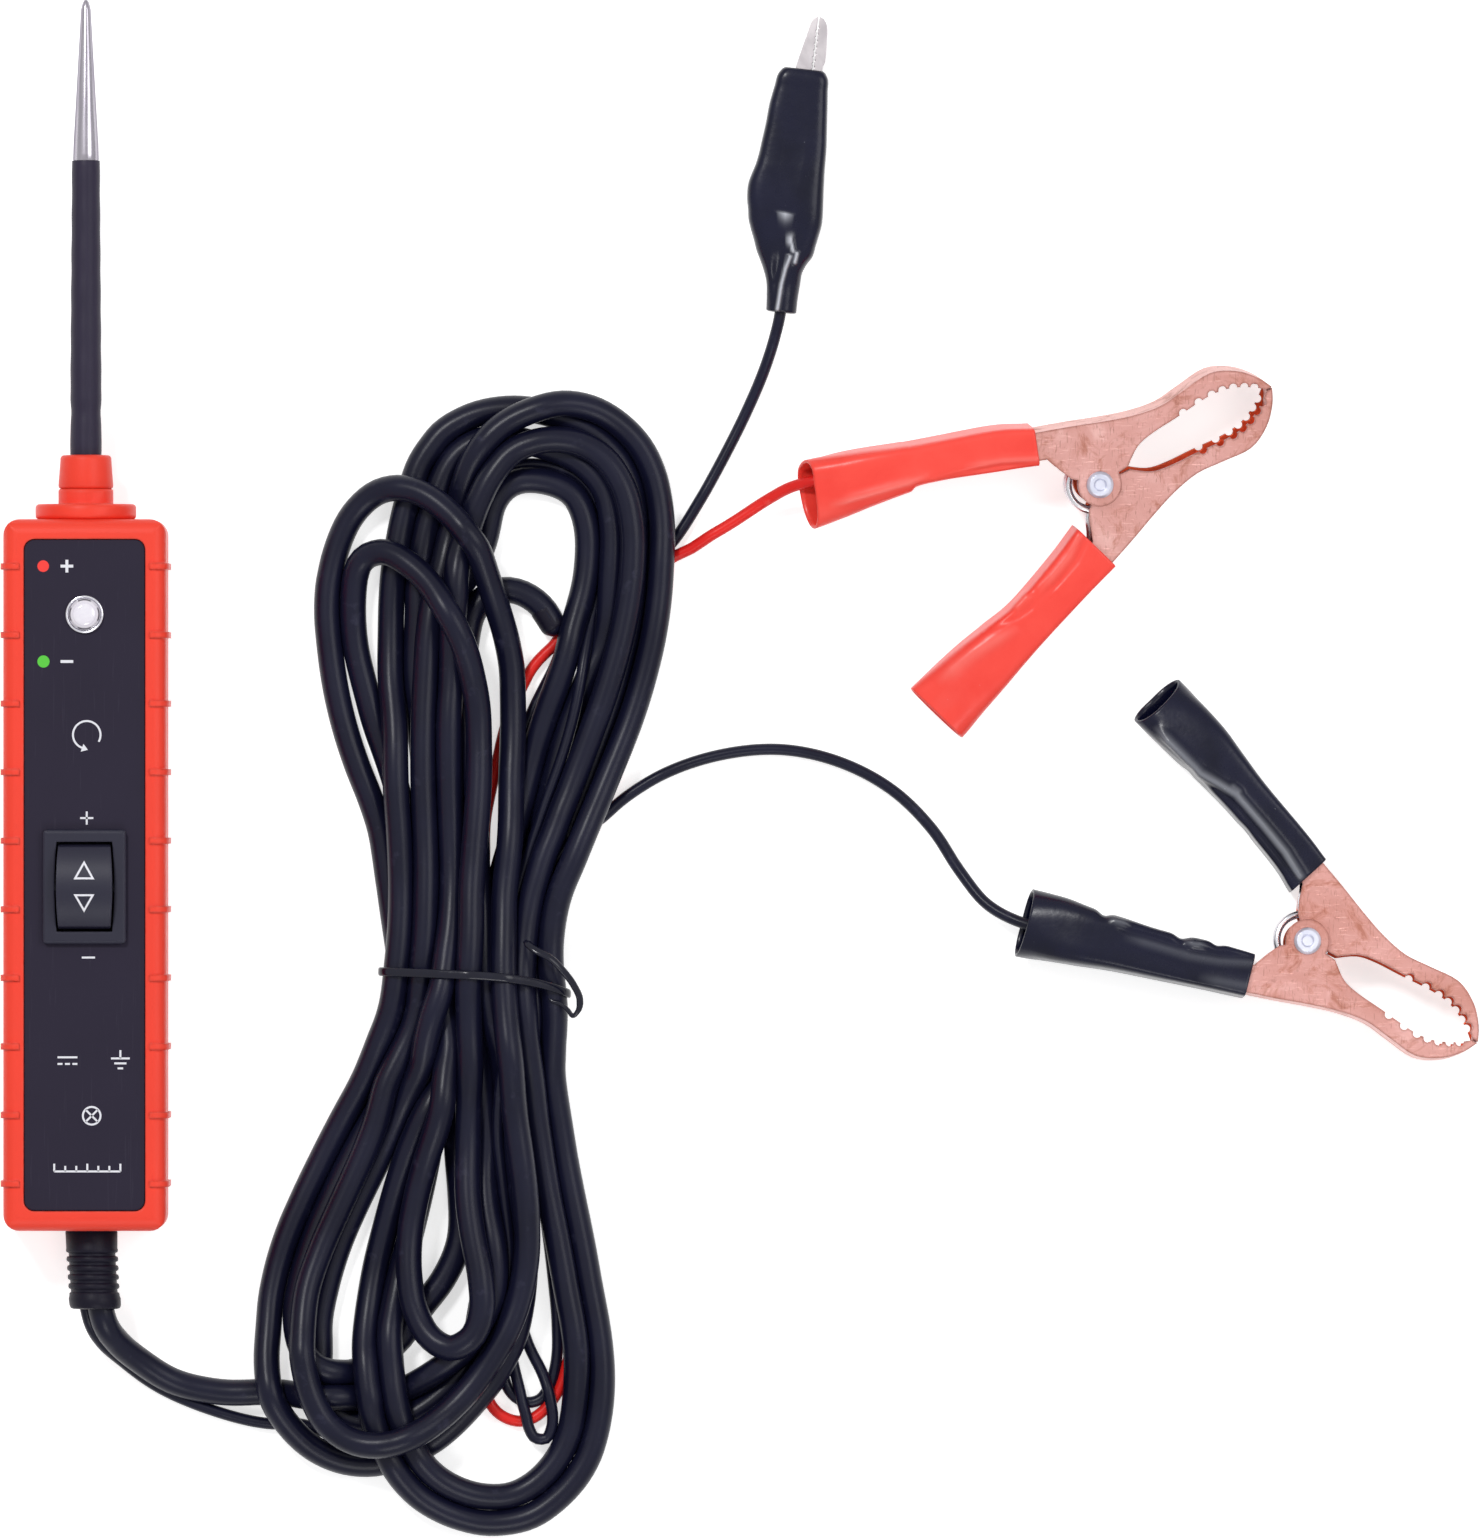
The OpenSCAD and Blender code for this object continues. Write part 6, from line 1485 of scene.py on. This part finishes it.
# Each finish, and the CAD nodes that wear it.
DRESSED = {
    "housing": ("front_shell", "rear_shell"),
    "panel": ("front_panel",),
    "switch": ("switch_body", "switch_rocker"),
    "red_copper": ("red_wire_jaw", "red_lever_jaw"),
    "black_copper": ("black_wire_jaw", "black_lever_jaw"),
    "steel": ("case_screws", "switch_terminals"),
    "rivet": ("red_rivet", "black_rivet"),
    "nickel": ("gator_fixed_jaw", "gator_lever_jaw", "gator_pin"),
    "brass": ("probe_contact",),
    "board": ("circuit_board",),
    "breaker": ("circuit_breaker",),
    "red_vinyl": ("inner_leads",),
}


class TESTER_OT_finishes(bpy.types.Operator):
    """Give each shown CAD part its finish"""

    bl_idname = "tester.finishes"
    bl_label = "Finishes"

    def execute(self, context):
        for look, nodes in DRESSED.items():
            for node in nodes:
                dress(node, look)
        return {"FINISHED"}


# ---- Stage

# The photograph's scale and height in pixels, and the place under the middle of its camera.
PIXELS_PER_MM = 5.5
PHOTO_PIXELS = 1538
MIDDLE = np.array([118.9, -20.9, 0]) * MM
# The camera: its sensor's longer side in millimetres, the level where the scale holds, and the
# height over that level. The floor: half its side and its level, just under the surface.
SENSOR = 36
SCALE_Z = 10 * MM
CAMERA_HEIGHT = 5.0
FLOOR_HALF = 3.0
FLOOR_Z = -0.0003
# Each lamp: its name, place from the middle in metres, width, and share of the key's power.
LAMPS = (
    ("key", (-0.55, 0.75, 1.5), 0.3, 1.0),
    ("fill", (0.9, 0.3, 1.4), 0.9, 0.5),
    ("back", (0.1, -1.1, 1.2), 0.6, 0.35),
)


class TESTER_OT_stage(bpy.types.Operator):
    """Set the white floor, the soft lamps and the camera straight above"""

    bl_idname = "tester.stage"
    bl_label = "Stage"

    def execute(self, context):
        scene, sizes = context.scene, context.scene.tester_stage
        scene.view_settings.view_transform = "Standard"
        corner = np.array([[[-1, -1, 0], [1, -1, 0]], [[-1, 1, 0], [1, 1, 0]]]) * FLOOR_HALF
        floor = surface("floor", corner + MIDDLE + [0, 0, FLOOR_Z], ring_v=False, capped=False)
        material = bpy.data.materials.new("floor")
        n = Nodes(material)
        diffuse = n.node("ShaderNodeBsdfDiffuse", None, {"Color": (0.86, 0.86, 0.86, 1)})
        glow = n.node("ShaderNodeEmission", None, {"Strength": sizes.floor_lift})
        n.seen_as("ShaderNodeOutputMaterial", diffuse,
                  n.node("ShaderNodeAddShader", None, {0: diffuse, 1: glow}))
        floor.data.materials.append(material)
        scene.world = bpy.data.worlds.new("studio")
        n = Nodes(scene.world)
        n.seen_as("ShaderNodeOutputWorld",
                  n.node("ShaderNodeBackground", None, {"Strength": sizes.world_level}),
                  n.node("ShaderNodeBackground"))
        for name, place, wide, share in LAMPS:
            data = bpy.data.lights.new(name, "AREA")
            data.shape = "DISK"
            data.size = wide
            data.energy = sizes.lamp_power * share
            lamp = bpy.data.objects.new(name, data)
            lamp.location = MIDDLE + place
            aim = unit(-np.array(place))
            lamp.rotation_euler = (np.arccos(-aim[2]), 0, np.arctan2(-aim[0], aim[1]))
            scene.collection.objects.link(lamp)
        data = bpy.data.cameras.new("above")
        data.sensor_width = SENSOR
        data.lens = SENSOR * CAMERA_HEIGHT / (PHOTO_PIXELS / PIXELS_PER_MM * MM)
        data.clip_end = 20
        camera = bpy.data.objects.new("above", data)
        camera.location = MIDDLE + [0, 0, CAMERA_HEIGHT + SCALE_Z]
        scene.collection.objects.link(camera)
        scene.camera = camera
        return {"FINISHED"}


# ---- Settings and panel


class TesterCords(bpy.types.PropertyGroup):
    main_diameter: bpy.props.FloatProperty(
        name="Main cable", description="Diameter of the jacketed cable",
        default=4.8 * MM, min=3 * MM, max=7 * MM, unit="LENGTH", precision=4)
    lead_diameter: bpy.props.FloatProperty(
        name="Thin leads", description="Diameter of the clips' leads and the ground wire",
        default=2.1 * MM, min=1 * MM, max=3 * MM, unit="LENGTH", precision=4)


class TesterBody(bpy.types.PropertyGroup):
    housing_colour: bpy.props.FloatVectorProperty(
        name="Housing", description="Colour of the moulded housing", subtype="COLOR",
        size=3, min=0, max=1, default=paint(248, 69, 50)[:3])
    panel_colour: bpy.props.FloatVectorProperty(
        name="Panel", description="Colour of the front panel", subtype="COLOR",
        size=3, min=0, max=1, default=paint(38, 33, 50)[:3])


class TesterClips(bpy.types.PropertyGroup):
    copper_colour: bpy.props.FloatVectorProperty(
        name="Copper", description="Colour of the rubbed copper plate", subtype="COLOR",
        size=3, min=0, max=1, default=paint(214, 163, 157)[:3])
    stains: bpy.props.FloatProperty(
        name="Stains", description="How much of the copper is stained", default=0.48,
        min=0, max=1, subtype="FACTOR")


class TesterStage(bpy.types.PropertyGroup):
    lamp_power: bpy.props.FloatProperty(
        name="Lamps", description="Power of the key lamp", default=12.0, min=0, unit="POWER")
    world_level: bpy.props.FloatProperty(
        name="Soft light", description="Level of the light from all sides", default=0.5, min=0)
    floor_lift: bpy.props.FloatProperty(
        name="Floor lift", description="How far the floor is lifted to white", default=0.62, min=0)


class TESTER_PT_panel(bpy.types.Panel):
    """The tester's sizes, colours and pieces"""

    bl_idname = "TESTER_PT_panel"
    bl_label = "Circuit Tester"
    bl_space_type = "VIEW_3D"
    bl_region_type = "UI"
    bl_category = "Circuit Tester"

    def draw(self, context):
        for group in GROUPS:
            box = self.layout.box()
            settings = getattr(context.scene, group)
            for name in type(settings).__annotations__:
                box.prop(settings, name)
        for operator in OPERATORS:
            self.layout.operator(operator.bl_idname)


GROUPS = {"tester_cords": TesterCords, "tester_body": TesterBody, "tester_clips": TesterClips,
          "tester_stage": TesterStage}
OPERATORS = (TESTER_OT_stage, TESTER_OT_cords, TESTER_OT_tie, TESTER_OT_grips, TESTER_OT_springs,
             TESTER_OT_boot, TESTER_OT_probe, TESTER_OT_lamp, TESTER_OT_marks, TESTER_OT_finishes)


def register():
    for group in (*GROUPS.values(), *OPERATORS, TESTER_PT_panel):
        bpy.utils.register_class(group)
    for name, group in GROUPS.items():
        setattr(bpy.types.Scene, name, bpy.props.PointerProperty(type=group))


def unregister():
    for name in GROUPS:
        delattr(bpy.types.Scene, name)
    for group in (TESTER_PT_panel, *OPERATORS, *GROUPS.values()):
        bpy.utils.unregister_class(group)


def main():
    register()
    for operator in OPERATORS:
        getattr(bpy.ops.tester, operator.bl_idname.removeprefix("tester."))()


if __name__ == "__main__":
    main()
